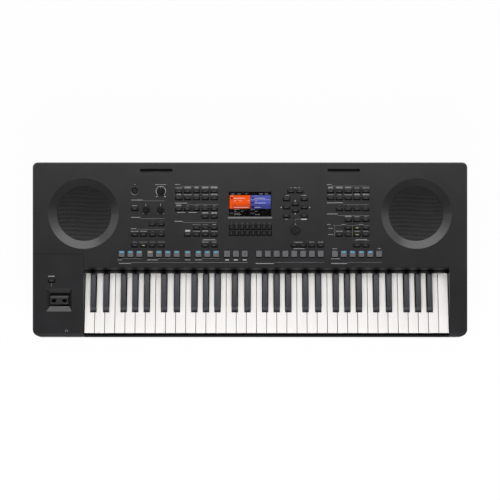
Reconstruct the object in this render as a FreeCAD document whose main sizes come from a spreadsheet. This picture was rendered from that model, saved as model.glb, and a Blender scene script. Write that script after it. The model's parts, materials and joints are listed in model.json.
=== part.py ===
import FreeCAD
import Part
import Sketcher
import os
import re

doc = FreeCAD.newDocument("arranger_keyboard")
sheet = doc.addObject("Spreadsheet::Sheet", "sizes")

# Driving dimensions, in millimetres and degrees
SIZES = {
    # Case
    "left_block": 118.3,
    "right_block": 41.5,
    "key_end_gap": 0.9,
    "key_setback": 7.5,
    "key_visible": 140.5,
    "panel_run": 248.4,
    "rear_lean": 13.6,
    "panel_slope": 9,
    "panel_rise": 22.66,
    "key_level": 72,
    "foot_height": 8,
    "parting_level": 40,
    "wall": 3,
    "corner_front": 16,
    "corner_rear": 12,
    "base_inset": 8,
    "bevel_depth": 7,
    "bevel_drop": 10,
    "lip_radius": 12,
    "edge_round": 2.5,
    "seat_gap": 0.2,
    # Front rail
    "rail_thickness": 4.5,
    "rail_level": 52,
    "rail_chamfer": 2,
    "rail_chamfer_drop": 3,
    # Keys
    "key_pitch": 23.4,
    "key_gap": 1,
    "key_height": 15,
    "key_plate": 3,
    "key_wall": 1.8,
    "key_lip": 8,
    "key_lip_thickness": 4,
    "white_front": 49.5,
    "black_width": 13.7,
    "black_top_width": 10.6,
    "c_sharp_shift": 1.1,
    "d_sharp_shift": 0.4,
    "black_rise": 11.5,
    "black_cap": 13.5,
    "black_plate": 4.5,
    "black_front_slope": 11,
    "black_side_gap": 0.55,
    "black_front_gap": 1.8,
    "key_under_panel": 12,
    "pivot_reach": 197.5,
    "tail_width": 9,
    "tail_height": 12,
    "tail_length": 14,
    "rod_radius": 2.5,
    "rod_clearance": 0.05,
    "key_dip": 10,
    # Key bed
    "bed_plate": 3,
    "bed_depth": 16,
    "bed_rib": 2.5,
    "post_width": 2.4,
    "felt_thickness": 2.8,
    "felt_width": 12,
    "down_felt_reach": 62,
    "contact_reach": 100,
    "contact_width": 30,
    "actuator_width": 22,
    "dome_radius": 4,
    "rubber_base": 1.4,
    "board_thickness": 1.6,
    # Buttons
    "button_pitch": 20.35,
    "button_width": 15.2,
    "button_depth": 7.6,
    "button_rise": 2,
    "button_sink": 7,
    "button_travel": 1,
    "button_clearance": 0.4,
    "pad_width": 13.6,
    "pad_depth": 14,
    "category_pitch": 12.7,
    "category_row": 13.9,
    "category_width": 9.3,
    "category_depth": 12.2,
    "switch_width": 6,
    "switch_height": 4,
    # Columns and rows of controls, from the middle of the case and the panel's front edge
    "left_column": -266.1,
    "style_column": -164.2,
    "menu_column": 104.8,
    "setup_column": 101.9,
    "voice_column": 185.9,
    "category_column": -43.65,
    "row_top": 185,
    "row_second": 169.1,
    "row_third": 143.9,
    "row_fourth": 126.6,
    "row_fourth_voice": 118.7,
    "row_transpose": 108.8,
    "row_fifth": 100.6,
    "row_sixth": 85,
    "row_low": 60,
    "row_pads": 40.4,
    "row_category": 102.5,
    # Menu cluster
    "menu_half_wide": 20.45,
    "menu_half_tab": 10.1,
    "row_tab": 184.8,
    "row_menu_upper": 166.8,
    "row_arrow_up": 155.4,
    "row_arrow_side": 148,
    "row_arrow_down": 140.7,
    "row_menu_lower": 128,
    # Grey pads
    "pads_intro": -296.2,
    "pads_main": -230.4,
    "pad_break": -143.9,
    "pads_ending": -119,
    "pads_sync": -52.9,
    "pads_memory": 20.7,
    "pads_touch": 196,
    # Knobs and dial
    "knob_radius": 7.4,
    "knob_height": 8.2,
    "knob_taper": 0.6,
    "knob_socket": 3,
    "knob_gap": 0.8,
    "stem_radius": 3,
    "stem_hole": 3.8,
    "pot_size": 11,
    "pot_height": 7,
    "pot_wall": 1.5,
    "volume_x": -205.8,
    "live_left_x": -239.7,
    "live_right_x": -206.5,
    "row_live": 142,
    "dial_radius": 10.6,
    "dial_height": 6.5,
    "dial_dimple": 4.4,
    "dimple_lift": 2.6,
    "row_dial": 96.5,
    # Power button
    "power_radius": 5.2,
    "power_dish": 7.8,
    "power_dish_depth": 2,
    "power_dish_over": 1,
    "power_sink": 1,
    # Speakers
    "speaker_edge": 117.5,
    "row_speaker": 133.3,
    "dish_radius": 81.5,
    "dish_depth": 10,
    "grille_radius": 63,
    "grille_thickness": 2.4,
    "grille_ledge": 5,
    "grille_rim": 2,
    "grille_gap": 0.3,
    "funnel_wall": 4.2,
    "slat_pitch": 2.9,
    "slot_width": 1.5,
    "frame_radius": 66,
    "frame_depth": 27,
    "frame_sheet": 2,
    "basket_foot": 30,
    "cone_throat": 14,
    "cone_sheet": 1.2,
    "cone_depth": 18.9,
    "cone_rim": 53.2,
    "cone_edge": 50.7,
    "surround_hole": 47.7,
    "magnet_radius": 38,
    "magnet_height": 14,
    # Display
    "screen_width": 98,
    "screen_height": 56,
    "row_screen": 155.2,
    "screen_bevel": 3,
    "window_border": 4,
    "window_thickness": 2,
    "module_depth": 8,
    # Music rest slots
    "rest_slot_x": 216.5,
    "rest_slot_length": 73.2,
    "rest_slot_width": 6.4,
    "rest_slot_depth": 14,
    "rest_slot_chamfer": 1,
    "row_rest_slot": 232.8,
    # Pitch wheel and modulation button
    "wheel_from_side": 61,
    "wheel_row": -66,
    "pocket_width": 59,
    "pocket_length": 53.6,
    "pocket_depth": 9,
    "pocket_wall": 2.5,
    "wheel_width": 41,
    "wheel_radius": 20,
    "wheel_chord": 26,
    "wheel_gap": 2,
    "groove_radius": 9,
    "groove_depth": 2.4,
    "scoop_radius": 7.2,
    "scoop_end": 3.6,
    "groove_bridge": 14,
    "scoop_depth": 1.6,
    "axle_radius": 3,
    "bracket_sheet": 3,
    "bracket_drop": 8,
    "modulation_from_side": 43.8,
    "modulation_row": -21.7,
    # Boards and sockets
    "boss_radius": 3.5,
    "board_stand": 8,
    "board_margin": 9,
    "board_end": 16,
    "boss_inset": 4.5,
    "main_left": -150,
    "main_width": 260,
    "main_front": 62,
    "main_depth": 88,
    "jack_bore": 3.25,
    "jack_bore_depth": 28,
    "jack_width": 17,
    "jack_length": 30,
    "jack_height": 15,
    "bushing_radius": 5.5,
    "bushing_gap": 0.3,
    "jack_level": 58,
    "jack_pitch": 35,
    "jack_column": 40,
    "pedal_column": 134.5,
    "usb_host_x": 235,
    "usb_device_x": 270,
    "supply_x": 330,
    "usb_sheet": 0.6,
    "usb_length": 18,
    "usb_back": 5,
    "usb_host_width": 13.1,
    "usb_host_height": 5.8,
    "usb_device_width": 9.5,
    "usb_device_height": 8.8,
    "supply_bore": 2.9,
    "supply_pin": 1.05,
    "supply_depth": 9,
    "supply_block": 14,
    "phones_from_side": 80.7,
    "phones_level": 52,
    # Feet and screws
    "foot_radius": 11,
    "foot_taper": 1.3,
    "foot_from_side": 72,
    "foot_from_front": 42,
    "screw_radius": 1.5,
    "screw_grip": 22,
    "screw_head_radius": 3.5,
    "screw_head": 2,
    "screw_boss": 4.5,
    "screw_from_side": 20,
    "screw_from_front": 24,
    "screw_from_rear": 32,
    "screw_behind_keys": 40,
    "screw_rear_first": -150,
    "screw_rear_second": -40,
}

for row, (alias, value) in enumerate(SIZES.items(), 1):
    sheet.set(f"A{row}", alias)
    sheet.set(f"B{row}", str(value))
    sheet.setAlias(f"B{row}", alias)
doc.recompute()

WHITE_KEYS = 36
OCTAVES = 5

# Derived places, as expressions of the driving dimensions
CASE_W = f"(left_block + {WHITE_KEYS}*key_pitch + 2*key_end_gap + right_block)"
CASE_D = "(key_setback + key_visible + panel_run + rear_lean)"
FRONT = f"(-{CASE_D}/2)"
KEY_FRONT = f"({FRONT} + key_setback)"
PANEL_Y = f"({KEY_FRONT} + key_visible)"
PANEL_Z = "(key_level + panel_rise)"
CASE_H = f"({PANEL_Z} + panel_run*tan(panel_slope))"
OPEN_LEFT = f"(-{CASE_W}/2 + left_block)"
OPEN_W = f"({WHITE_KEYS}*key_pitch + 2*key_end_gap)"
KEY_LEFT = f"({OPEN_LEFT} + key_end_gap)"
BASE_TOP = "(foot_height + wall)"
KEY_FLOOR = "(key_level - key_height)"
PIVOT_Y = f"({KEY_FRONT} + pivot_reach)"
PIVOT_Z = f"({KEY_FLOOR} + tail_height/2)"
BLACK_FRONT = f"({KEY_FRONT} + white_front)"
KEY_REAR = f"({PANEL_Y} + key_under_panel)"
BED_TOP = f"({KEY_FLOOR} - bed_depth)"
DIP = "(key_dip/pivot_reach)"
SPEAKER_X = f"({CASE_W}/2 - speaker_edge)"
BOARD_TOP = "(-(button_sink + button_travel + seat_gap + switch_height))"


def ex(text):
    """Turn the words that name a size into references to the sheet."""
    return re.sub(r"[a-z][a-z_]*", lambda word: f"sizes.{word[0]}" if word[0] in SIZES else word[0], text)


def bind(item, **paths):
    """Bind properties of an object to expressions of the sizes."""
    for path, text in paths.items():
        item.setExpression(path, ex(str(text)))
    return item


def place(item, x=0, y=0, z=0):
    """Bind the position of an object."""
    for axis, text in zip("xyz", (x, y, z)):
        item.setExpression(f"Placement.Base.{axis}", ex(str(text)))
    return item


def turn(item, axis, degrees):
    """Turn an object about an axis of the frame by an expression in degrees."""
    item.Placement = FreeCAD.Placement(FreeCAD.Vector(), FreeCAD.Rotation(FreeCAD.Vector(*axis), 1))
    item.setExpression("Placement.Rotation.Angle", ex(str(degrees)))
    return item


def on_panel(item):
    """Put an object that is drawn on the panel's own plane onto the sloping panel."""
    return place(turn(item, (1, 0, 0), "panel_slope"), 0, PANEL_Y, PANEL_Z)


def box(name, x, y, z, wide, deep, tall):
    """A block from its lowest corner and its three sizes."""
    item = doc.addObject("Part::Box", name)
    return place(bind(item, Length=wide, Width=deep, Height=tall), x, y, z)


def middle_box(name, x, y, z, wide, deep, tall):
    """A block centred on x and y, standing on z."""
    return box(name, f"{x} - ({wide})/2", f"{y} - ({deep})/2", z, wide, deep, tall)


def cylinder(name, x, y, z, radius, tall, along="z"):
    """A round bar from the middle of its first end."""
    item = doc.addObject("Part::Cylinder", name)
    if along == "x":
        turn(item, (0, 1, 0), 90)
    if along == "y":
        turn(item, (1, 0, 0), -90)
    return place(bind(item, Radius=radius, Height=tall), x, y, z)


def cone(name, x, y, z, low_radius, high_radius, tall):
    """A cone frustum standing on z."""
    item = doc.addObject("Part::Cone", name)
    return place(bind(item, Radius1=low_radius, Radius2=high_radius, Height=tall), x, y, z)


def frustum(name, x, y, z, low, high, tall, shift=0):
    """A block whose sides lean, from its low and high sizes; shift moves its top along y."""
    item = doc.addObject("Part::Wedge", name)
    bind(item, Xmin=f"-({low[0]})/2", Xmax=f"({low[0]})/2", Zmin=f"-({low[1]})/2", Zmax=f"({low[1]})/2")
    bind(item, X2min=f"-({high[0]})/2", X2max=f"({high[0]})/2", Ymin="0", Ymax=tall)
    bind(item, Z2min=f"-({high[1]})/2 - ({shift})", Z2max=f"({high[1]})/2 - ({shift})")
    return place(turn(item, (1, 0, 0), 90), x, y, z)


def group(name, members):
    """Separate solids that make one piece of the list."""
    item = doc.addObject("Part::Compound", name)
    item.Links = members
    return item


def fuse(name, members):
    """One solid of several."""
    item = doc.addObject("Part::MultiFuse", name)
    item.Shapes = members
    return item


def cut(name, base, tool):
    """One solid less another, or less a list of solids that stay clear of each other."""
    item = doc.addObject("Part::Cut", name)
    item.Base = base
    item.Tool = group(f"{name}_tools", tool) if isinstance(tool, list) else tool
    return item


def common(name, base, tool):
    """What two solids share."""
    item = doc.addObject("Part::Common", name)
    item.Base = base
    item.Tool = tool
    return item


def profile(name, plane, points):
    """A body with a closed sketch of straight lines on one of its origin planes."""
    body = doc.addObject("PartDesign::Body", name)
    sketch = body.newObject("Sketcher::SketchObject", f"{name}_sketch")
    sketch.AttachmentSupport = ([item for item in body.Origin.OriginFeatures if item.Role == plane][0], [""])
    sketch.MapMode = "FlatFace"
    rough = [FreeCAD.Vector(number(x), number(y), 0) for x, y in points]
    for start, end in zip(rough, rough[1:] + rough[:1]):
        sketch.addGeometry(Part.LineSegment(start, end), False)
    for index, (x, y) in enumerate(points):
        sketch.addConstraint(Sketcher.Constraint("Coincident", index - 1 if index else len(points) - 1, 2,
                                                 index, 1))
        for kind, text, start in (("DistanceX", x, rough[index].x), ("DistanceY", y, rough[index].y)):
            rule = sketch.addConstraint(Sketcher.Constraint(kind, -1, 1, index, 1, start))
            sketch.setExpression(f"Constraints[{rule}]", ex(text))
    return body, sketch


def number(text):
    """The value of an expression of the sizes."""
    return float(sheet.evalExpression(ex(str(text)).replace("sizes.", "")))


def outline(name, level, inset, rear):
    """A rounded plan outline of the case at one level, set in by a wall, with its rear edge at rear."""
    sketch = doc.addObject("Sketcher::SketchObject", name)
    half = f"({CASE_W}/2 - ({inset}))"
    front = f"({FRONT} + ({inset}))"
    back = f"({rear} - ({inset}))"
    corners = [(-1, front, "corner_front"), (1, front, "corner_front"), (1, back, "corner_rear"),
               (-1, back, "corner_rear")]
    centres = []
    for side, edge, radius in corners:
        inward = "+" if edge == front else "-"
        centres.append((f"({side}*({half} - {radius}))", f"({edge} {inward} {radius})", radius))
    angles = [(180, 270), (270, 360), (0, 90), (90, 180)]
    for (x, y, radius), (start, end) in zip(centres, angles):
        middle = FreeCAD.Vector(number(x), number(y), 0)
        circle = Part.Circle(middle, FreeCAD.Vector(0, 0, 1), number(radius))
        arc = Part.ArcOfCircle(circle, FreeCAD.Units.Quantity(start, "deg").getValueAs("rad").Value,
                               FreeCAD.Units.Quantity(end, "deg").getValueAs("rad").Value)
        sketch.addGeometry(arc, False)
    for index in range(4):
        first = sketch.Geometry[index].EndPoint
        second = sketch.Geometry[(index + 1) % 4].StartPoint
        sketch.addGeometry(Part.LineSegment(first, second), False)
    for index, (x, y, radius) in enumerate(centres):
        sketch.addConstraint(Sketcher.Constraint("Tangent", index, 2, 4 + index, 1))
        sketch.addConstraint(Sketcher.Constraint("Tangent", 4 + index, 2, (index + 1) % 4, 1))
        for kind, text in (("DistanceX", x), ("DistanceY", y)):
            rule = sketch.addConstraint(Sketcher.Constraint(kind, -1, 1, index, 3, number(text)))
            sketch.setExpression(f"Constraints[{rule}]", ex(text))
        rule = sketch.addConstraint(Sketcher.Constraint("Radius", index, number(radius)))
        sketch.setExpression(f"Constraints[{rule}]", ex(radius))
    return place(sketch, 0, 0, level)


def loft(name, sections):
    """A ruled solid between two outlines."""
    item = doc.addObject("Part::Loft", name)
    item.Sections = sections
    item.Solid = True
    item.Ruled = True
    return item


def rear_at(level):
    """The rear edge of the leaning rear wall at one level."""
    return f"({CASE_D}/2 - rear_lean*(({level}) - parting_level)/({CASE_H} - parting_level))"


# Controls: name, column, row and size of every push button, group by group
def columns(start, picks, row):
    """Buttons on the common pitch, picked by their number from the block's first column."""
    return [(f"({start} + {pick}*button_pitch)", row) for pick in picks]


SMALL = ("button_width", "button_depth")
PAD = ("pad_width", "pad_depth")
CATEGORY = ("category_width", "category_depth")
MENU_PAIRS = [("menu_half_tab", "row_tab"), ("menu_half_wide", "row_menu_upper"),
              ("menu_half_wide", "row_arrow_side"), ("menu_half_wide", "row_menu_lower")]
MENU = [(f"(menu_column + {side}*{half})", row) for half, row in MENU_PAIRS for side in (-1, 1)]
MODULATION_X = f"(-{CASE_W}/2 + modulation_from_side)"

BUTTONS = {
    "tempo_buttons": (SMALL, columns("left_column", [0], "row_third") + columns("left_column", [2, 3],
                                                                                "row_transpose")
                      + columns("left_column", range(4), "row_sixth") + columns("left_column", range(4),
                                                                                "row_low")),
    "style_buttons": (SMALL, columns("style_column", range(5), "row_top")
                      + columns("style_column", range(5), "row_second")),
    "song_buttons": (SMALL, columns("style_column", range(5), "row_third")
                     + columns("style_column", [3, 4], "row_fourth")),
    "control_buttons": (SMALL, columns("style_column", [2, 3, 4], "row_fifth")
                        + columns("style_column", [1, 2, 3, 4], "row_sixth")
                        + columns("style_column", [3, 4], "row_low")),
    "category_buttons": (CATEGORY,
                         [(f"(category_column + {pick}*category_pitch)",
                           f"(row_category - {line}*category_row)")
                                    for line in range(2) for pick in range(8)]),
    "navigation_buttons": (SMALL, MENU + [("menu_column", "row_arrow_up"),
                                          ("menu_column", "row_arrow_down")]),
    "setup_buttons": (SMALL, columns("setup_column", range(4), "row_low")),
    "voice_buttons": (SMALL, columns("voice_column", range(5), "row_top")
                      + columns("voice_column", range(5), "row_second")),
    "part_buttons": (SMALL, columns("voice_column", range(1, 5), "row_third")
                     + columns("voice_column", range(2, 5), "row_fourth_voice")
                     + columns("voice_column", range(2, 5), "row_fifth")
                     + columns("voice_column", range(1, 5), "row_sixth")
                     + columns("voice_column", range(3, 5), "row_low")),
    "style_control_buttons": (PAD, columns("pads_intro", range(3), "row_pads") + columns("pads_main",
                                                                                         range(4), "row_pads")
                              + columns("pad_break", [0], "row_pads") + columns("pads_ending", range(3),
                                                                                "row_pads")
                              + columns("pads_sync", range(3), "row_pads")),
    "registration_buttons": (PAD, columns("pads_memory", range(8), "row_pads")),
    "one_touch_buttons": (PAD, columns("pads_touch", range(6), "row_pads")),
    "modulation_button": (SMALL, [(MODULATION_X, "modulation_row")]),
}

nodes = {}
panel_holes = []
panel_adds = []
switches = []


def keep(name, item):
    """Give a finished piece its name."""
    item.Label = name
    nodes[name] = item
    return item


def push_buttons():
    """Caps in clearance holes of the panel, each over a switch on the board below."""
    for name, ((wide, deep), places) in BUTTONS.items():
        caps = []
        for index, (x, w) in enumerate(places):
            tag = f"{name}_{index}"
            caps.append(middle_box(f"{tag}_cap", x, w, "-button_sink", wide, deep,
                                   "button_sink + button_rise"))
            hole = (f"{wide} + 2*button_clearance", f"{deep} + 2*button_clearance")
            panel_holes.append(middle_box(f"{tag}_hole", x, w, "-button_sink - wall", *hole,
                                          "2*button_sink + wall"))
            switches.append(middle_box(f"{tag}_switch", x, w, BOARD_TOP, "switch_width", "switch_width",
                                       "switch_height"))
        keep(name, on_panel(group(f"{name}_caps", caps)))


def power_button():
    """Round button in a small dish."""
    x, w = "left_column", "row_top"
    cap = cylinder("power_cap", x, w, "-button_sink", "power_radius", "button_sink - power_sink")
    keep("power_button", on_panel(group("power_group", [cap])))
    dish = cone("power_dish_cut", x, w, "-power_dish_depth", "power_radius + button_clearance",
                "power_dish + (power_dish - power_radius)*power_dish_over/power_dish_depth",
                "power_dish_depth + power_dish_over")
    hole = cylinder("power_hole", x, w, "-button_sink", "power_radius + button_clearance", "button_sink")
    panel_holes.append(fuse("power_opening", [dish, hole]))
    switches.append(middle_box("power_switch", x, w, BOARD_TOP, "switch_width", "switch_width",
                               "switch_height"))


def knobs():
    """Knobs on stems that turn in potentiometers, and the data dial with its finger dimple."""
    pots = []
    places = {"master_volume_knob": ("volume_x", "row_top"), "live_knob_left": ("live_left_x", "row_live"),
              "live_knob_right": ("live_right_x", "row_live"), "data_dial": ("menu_column", "row_dial")}
    for name, (x, w) in places.items():
        stem = cylinder(f"{name}_stem", x, w, f"{BOARD_TOP} + seat_gap", "stem_radius",
                        f"knob_gap - {BOARD_TOP} + knob_socket - seat_gap")
        if name == "data_dial":
            rim = cylinder(f"{name}_rim", x, w, "knob_gap", "dial_radius", "dial_height")
            dimple = doc.addObject("Part::Sphere", f"{name}_dimple")
            place(bind(dimple, Radius="dial_dimple"), f"{x} + dial_radius/2", w,
                  "knob_gap + dial_height + dimple_lift")
            cap = cut(f"{name}_cap", rim, dimple)
        else:
            cap = cone(f"{name}_cap", x, w, "knob_gap", "knob_radius", "knob_radius - knob_taper",
                       "knob_height")
        keep(name, on_panel(fuse(f"{name}_solid", [cap, stem])))
        panel_holes.append(cylinder(f"{name}_hole", x, w, "-wall*2", "stem_hole", "wall*3"))
        block = middle_box(f"{name}_block", x, w, BOARD_TOP, "pot_size", "pot_size", "pot_height")
        bore = cylinder(f"{name}_bore", x, w, BOARD_TOP, "stem_radius + rod_clearance", "pot_height + wall")
        pots.append(on_panel(cut(f"{name}_pot", block, bore)))
    return pots


def speakers():
    """A conical dish, slatted grille, frame, paper cone and magnet on each side."""
    frames, cones, magnets = [], [], []
    ledge = "(dish_depth + grille_thickness)"
    seat = f"({ledge} + wall)"
    for side, word in ((-1, "left"), (1, "right")):
        x, w = f"({side}*{SPEAKER_X})", "row_speaker"
        funnel = cone(f"{word}_funnel", x, w, f"-{seat}", "grille_radius + funnel_wall", "dish_radius + wall",
                      f"{seat} - wall/2")
        panel_adds.append(funnel)
        slope = "((dish_radius - grille_radius - grille_gap)/dish_depth)"
        dish = cone(f"{word}_dish", x, w, "-dish_depth", "grille_radius + grille_gap",
                    f"dish_radius + wall*{slope}",
                    "dish_depth + wall")
        well = cylinder(f"{word}_well", x, w, f"-{ledge}", "grille_radius + grille_gap",
                        "grille_thickness + wall")
        throat = cylinder(f"{word}_throat", x, w, f"-{seat} - wall", "grille_radius - grille_ledge",
                          f"{seat}")
        panel_holes.append(fuse(f"{word}_speaker_opening", [dish, well, throat]))

        disc = cylinder(f"{word}_disc", x, w, f"-{ledge}", "grille_radius", "grille_thickness")
        slots = []
        rows = int((number("grille_radius") - number("grille_rim")) / number("slat_pitch"))
        for step in range(-rows, rows + 1):
            edge = f"(abs({step})*slat_pitch + slot_width/2)"
            reach = "(grille_radius - grille_rim)"
            if number(f"{edge} + grille_rim") < number(reach):
                chord = f"2*sqrt({reach}*{reach} - {edge}*{edge})"
                slots.append(middle_box(f"{word}_slot_{step + rows}", x, f"{w} + {step}*slat_pitch",
                                        f"-{ledge} - wall",
                                        chord, "slot_width", "grille_thickness + 2*wall"))
        keep(f"speaker_grille_{word}", on_panel(cut(f"{word}_grille", disc, slots)))

        low = f"-{seat} - frame_depth"
        flange = cylinder(f"{word}_flange", x, w, f"-{seat} - frame_sheet", "frame_radius", "frame_sheet")
        basket = cone(f"{word}_basket", x, w, low, "basket_foot", "frame_radius - wall",
                      "frame_depth - frame_sheet/2")
        hollow = cone(f"{word}_hollow", x, w, f"{low} + frame_sheet", "basket_foot - frame_sheet",
                      "frame_radius - 2*wall", "frame_depth")
        eye = cylinder(f"{word}_eye", x, w, f"{low} - wall", "cone_throat", "2*wall + frame_sheet")
        frame = cut(f"{word}_frame_hollow", fuse(f"{word}_frame_full", [flange, basket]), hollow)
        frames.append(cut(f"{word}_frame", frame, eye))
        top = f"-{seat} - frame_sheet"
        paper = cone(f"{word}_paper", x, w, f"{top} - cone_depth", "cone_throat", "cone_edge", "cone_depth")
        inside = cone(f"{word}_paper_inside", x, w, f"{top} - cone_depth + cone_sheet",
                      "cone_throat - cone_sheet", "cone_edge", "cone_depth")
        rim = cylinder(f"{word}_rim", x, w, f"{top} - cone_sheet", "cone_rim", "cone_sheet")
        rim_hole = cylinder(f"{word}_rim_hole", x, w, f"{top} - 2*wall", "surround_hole", "4*wall")
        ring = cut(f"{word}_surround", rim, rim_hole)
        cones.append(fuse(f"{word}_cone", [cut(f"{word}_paper_cut", paper, inside), ring]))
        magnets.append(cylinder(f"{word}_magnet", x, w, f"{low} - magnet_height", "magnet_radius",
                                "magnet_height"))
    keep("speaker_frames", on_panel(group("frames", frames)))
    keep("speaker_cones", on_panel(group("cones", cones)))
    keep("speaker_magnets", on_panel(group("magnets", magnets)))


def display():
    """Window under a bevelled opening of the panel, with the lit module behind it."""
    low = ("screen_width", "screen_height")
    high = ("screen_width + 2*screen_bevel", "screen_height + 2*screen_bevel")
    lift = ("screen_width + 4*screen_bevel", "screen_height + 4*screen_bevel")
    panel_holes.append(frustum("screen_opening", 0, "row_screen", "-wall", low, lift, "2*wall"))
    pane = ("screen_width + 2*window_border", "screen_height + 2*window_border")
    window = middle_box("window", 0, "row_screen", "-wall - window_thickness", *pane, "window_thickness")
    keep("display_window", on_panel(group("window_group", [window])))
    module = middle_box("module", 0, "row_screen", "-wall - window_thickness - module_depth", *high,
                        "module_depth")
    keep("display_module", on_panel(group("module_group", [module])))


def rest_slots():
    """Two pockets that take the music rest."""
    for side, word in ((-1, "left"), (1, "right")):
        x = f"({side}*rest_slot_x)"
        sleeve = ("rest_slot_length + 2*wall", "rest_slot_width + 2*wall")
        panel_adds.append(middle_box(f"{word}_sleeve", x, "row_rest_slot", "-rest_slot_depth - wall", *sleeve,
                                     "rest_slot_depth + wall/2"))
        slot = middle_box(f"{word}_rest_slot", x, "row_rest_slot", "-rest_slot_depth", "rest_slot_length",
                          "rest_slot_width", "rest_slot_depth")
        grow = "4*rest_slot_chamfer"
        mouth = frustum(f"{word}_rest_mouth", x, "row_rest_slot", "-rest_slot_chamfer",
                        ("rest_slot_length", "rest_slot_width"),
                        (f"rest_slot_length + {grow}", f"rest_slot_width + {grow}"), "2*rest_slot_chamfer")
        panel_holes.append(fuse(f"{word}_rest_opening", [slot, mouth]))


WHEEL_X = f"(-{CASE_W}/2 + wheel_from_side)"
WHEEL_N = "(-(pocket_depth + sqrt(wheel_radius*wheel_radius - wheel_chord*wheel_chord/4)))"


def pitch_wheel():
    """Wide roller with a finger groove, on an axle in a bracket under its pocket."""
    x, w = WHEEL_X, "wheel_row"
    mouth = ("wheel_width + 2*wheel_gap", "wheel_chord + 2*wheel_gap")
    top = ("pocket_width", "pocket_length")
    skin = tuple(f"{size} + 2*pocket_wall" for size in mouth)
    skin_top = tuple(f"{size} + 2*pocket_wall" for size in top)
    panel_adds.append(frustum("pocket_skin", x, w, "-pocket_depth - pocket_wall/2", skin, skin_top,
                              "pocket_depth"))
    grow = [f"{high} + ({high} - ({low}))*wall/pocket_depth" for low, high in zip(mouth, top)]
    opening = frustum("pocket_cut", x, w, "-pocket_depth", mouth, grow, "pocket_depth + wall")
    throat = middle_box("pocket_throat", x, w, "-pocket_depth - pocket_wall*2", *mouth, "pocket_depth")
    panel_holes.append(fuse("pocket_opening", [opening, throat]))

    roller = cylinder("roller", f"{x} - wheel_width/2", w, WHEEL_N, "wheel_radius", "wheel_width", "x")
    groove_n = f"{WHEEL_N} + wheel_radius + groove_radius - groove_depth"
    groove = cylinder("groove", f"{x} - wheel_width/2 - wall", w, groove_n, "groove_radius",
                      "wheel_width + 2*wall", "x")
    scoops = []
    for side in (-1, 1):
        length = "((wheel_width - groove_bridge)/2 - scoop_end)"
        middle = f"({x} + {side}*(wheel_width + groove_bridge)/4)"
        scoops.append(cylinder(f"scoop_{side + 1}", f"{middle} - {length}/2", w, f"{groove_n} - scoop_depth",
                               "scoop_radius", length, "x"))
    carved = cut("roller_carved", roller, fuse("groove_and_scoops", [groove] + scoops))
    reach = "(wheel_width/2 + wheel_gap + bracket_sheet + pot_size)"
    axle = cylinder("axle", f"{x} - {reach} + wall", w, WHEEL_N, "axle_radius",
                    f"2*{reach} - wall - pot_size", "x")
    keep("pitch_wheel", on_panel(fuse("wheel", [carved, axle])))

    back = "(wheel_radius + wheel_gap)"
    low = f"({WHEEL_N} - bracket_drop)"
    tall = f"(-pocket_depth - pocket_wall/2 - {low})"
    sides = []
    edges = [f"{x} - wheel_width/2 - wheel_gap - bracket_sheet", f"{x} + wheel_width/2 + wheel_gap"]
    for index, edge in enumerate(edges):
        sides.append(box(f"bracket_side_{index}", edge, f"{w} - bracket_drop", low, "bracket_sheet",
                         f"bracket_drop + {back} + bracket_sheet", tall))
    bar = box("bracket_bar", f"{x} - wheel_width/2 - wheel_gap - bracket_sheet", f"{w} + {back}", low,
              "wheel_width + 2*wheel_gap + 2*bracket_sheet", "bracket_sheet", f"{tall}/2")
    holes = cylinder("bracket_holes", f"{x} - {reach}", w, WHEEL_N, "axle_radius + rod_clearance",
                     f"2*{reach}", "x")
    keep("pitch_wheel_bracket", on_panel(cut("bracket", fuse("bracket_full", sides + [bar]), holes)))
    block = box("wheel_pot_block", f"{x} - {reach}", f"{w} - pot_size/2", f"{WHEEL_N} - pot_size/2",
                "pot_size", "pot_size",
                "pot_size")
    bore = cylinder("wheel_pot_bore", f"{x} - {reach} + pot_wall", w, WHEEL_N,
                    "axle_radius + rod_clearance", "pot_size*2", "x")
    return on_panel(cut("wheel_pot", block, bore))


# Panel boards: left, right, front and rear edges
BOARDS = {
    "left_board": ("left_column - button_width/2 - board_end",
                   "style_column + 4*button_pitch + button_width/2 + 2*boss_radius"
                   " + boss_inset", "row_sixth - board_margin", "row_top + board_margin"),
    "right_board": ("menu_column - menu_half_wide - button_width/2 - 2*boss_radius - boss_inset",
                    "voice_column + 4*button_pitch + button_width/2 + board_end", "row_sixth - board_margin",
                    "row_top + board_margin"),
    "front_board": ("pads_intro - board_end", "pads_touch + 5*button_pitch + board_end",
                    "row_pads - board_margin",
                    "row_low + board_margin"),
    "centre_board": ("category_column - category_width/2 - board_margin",
                     "category_column + 7*category_pitch + category_width/2 + board_margin",
                     "row_category - category_row - board_margin", "row_category + board_margin"),
}


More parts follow.
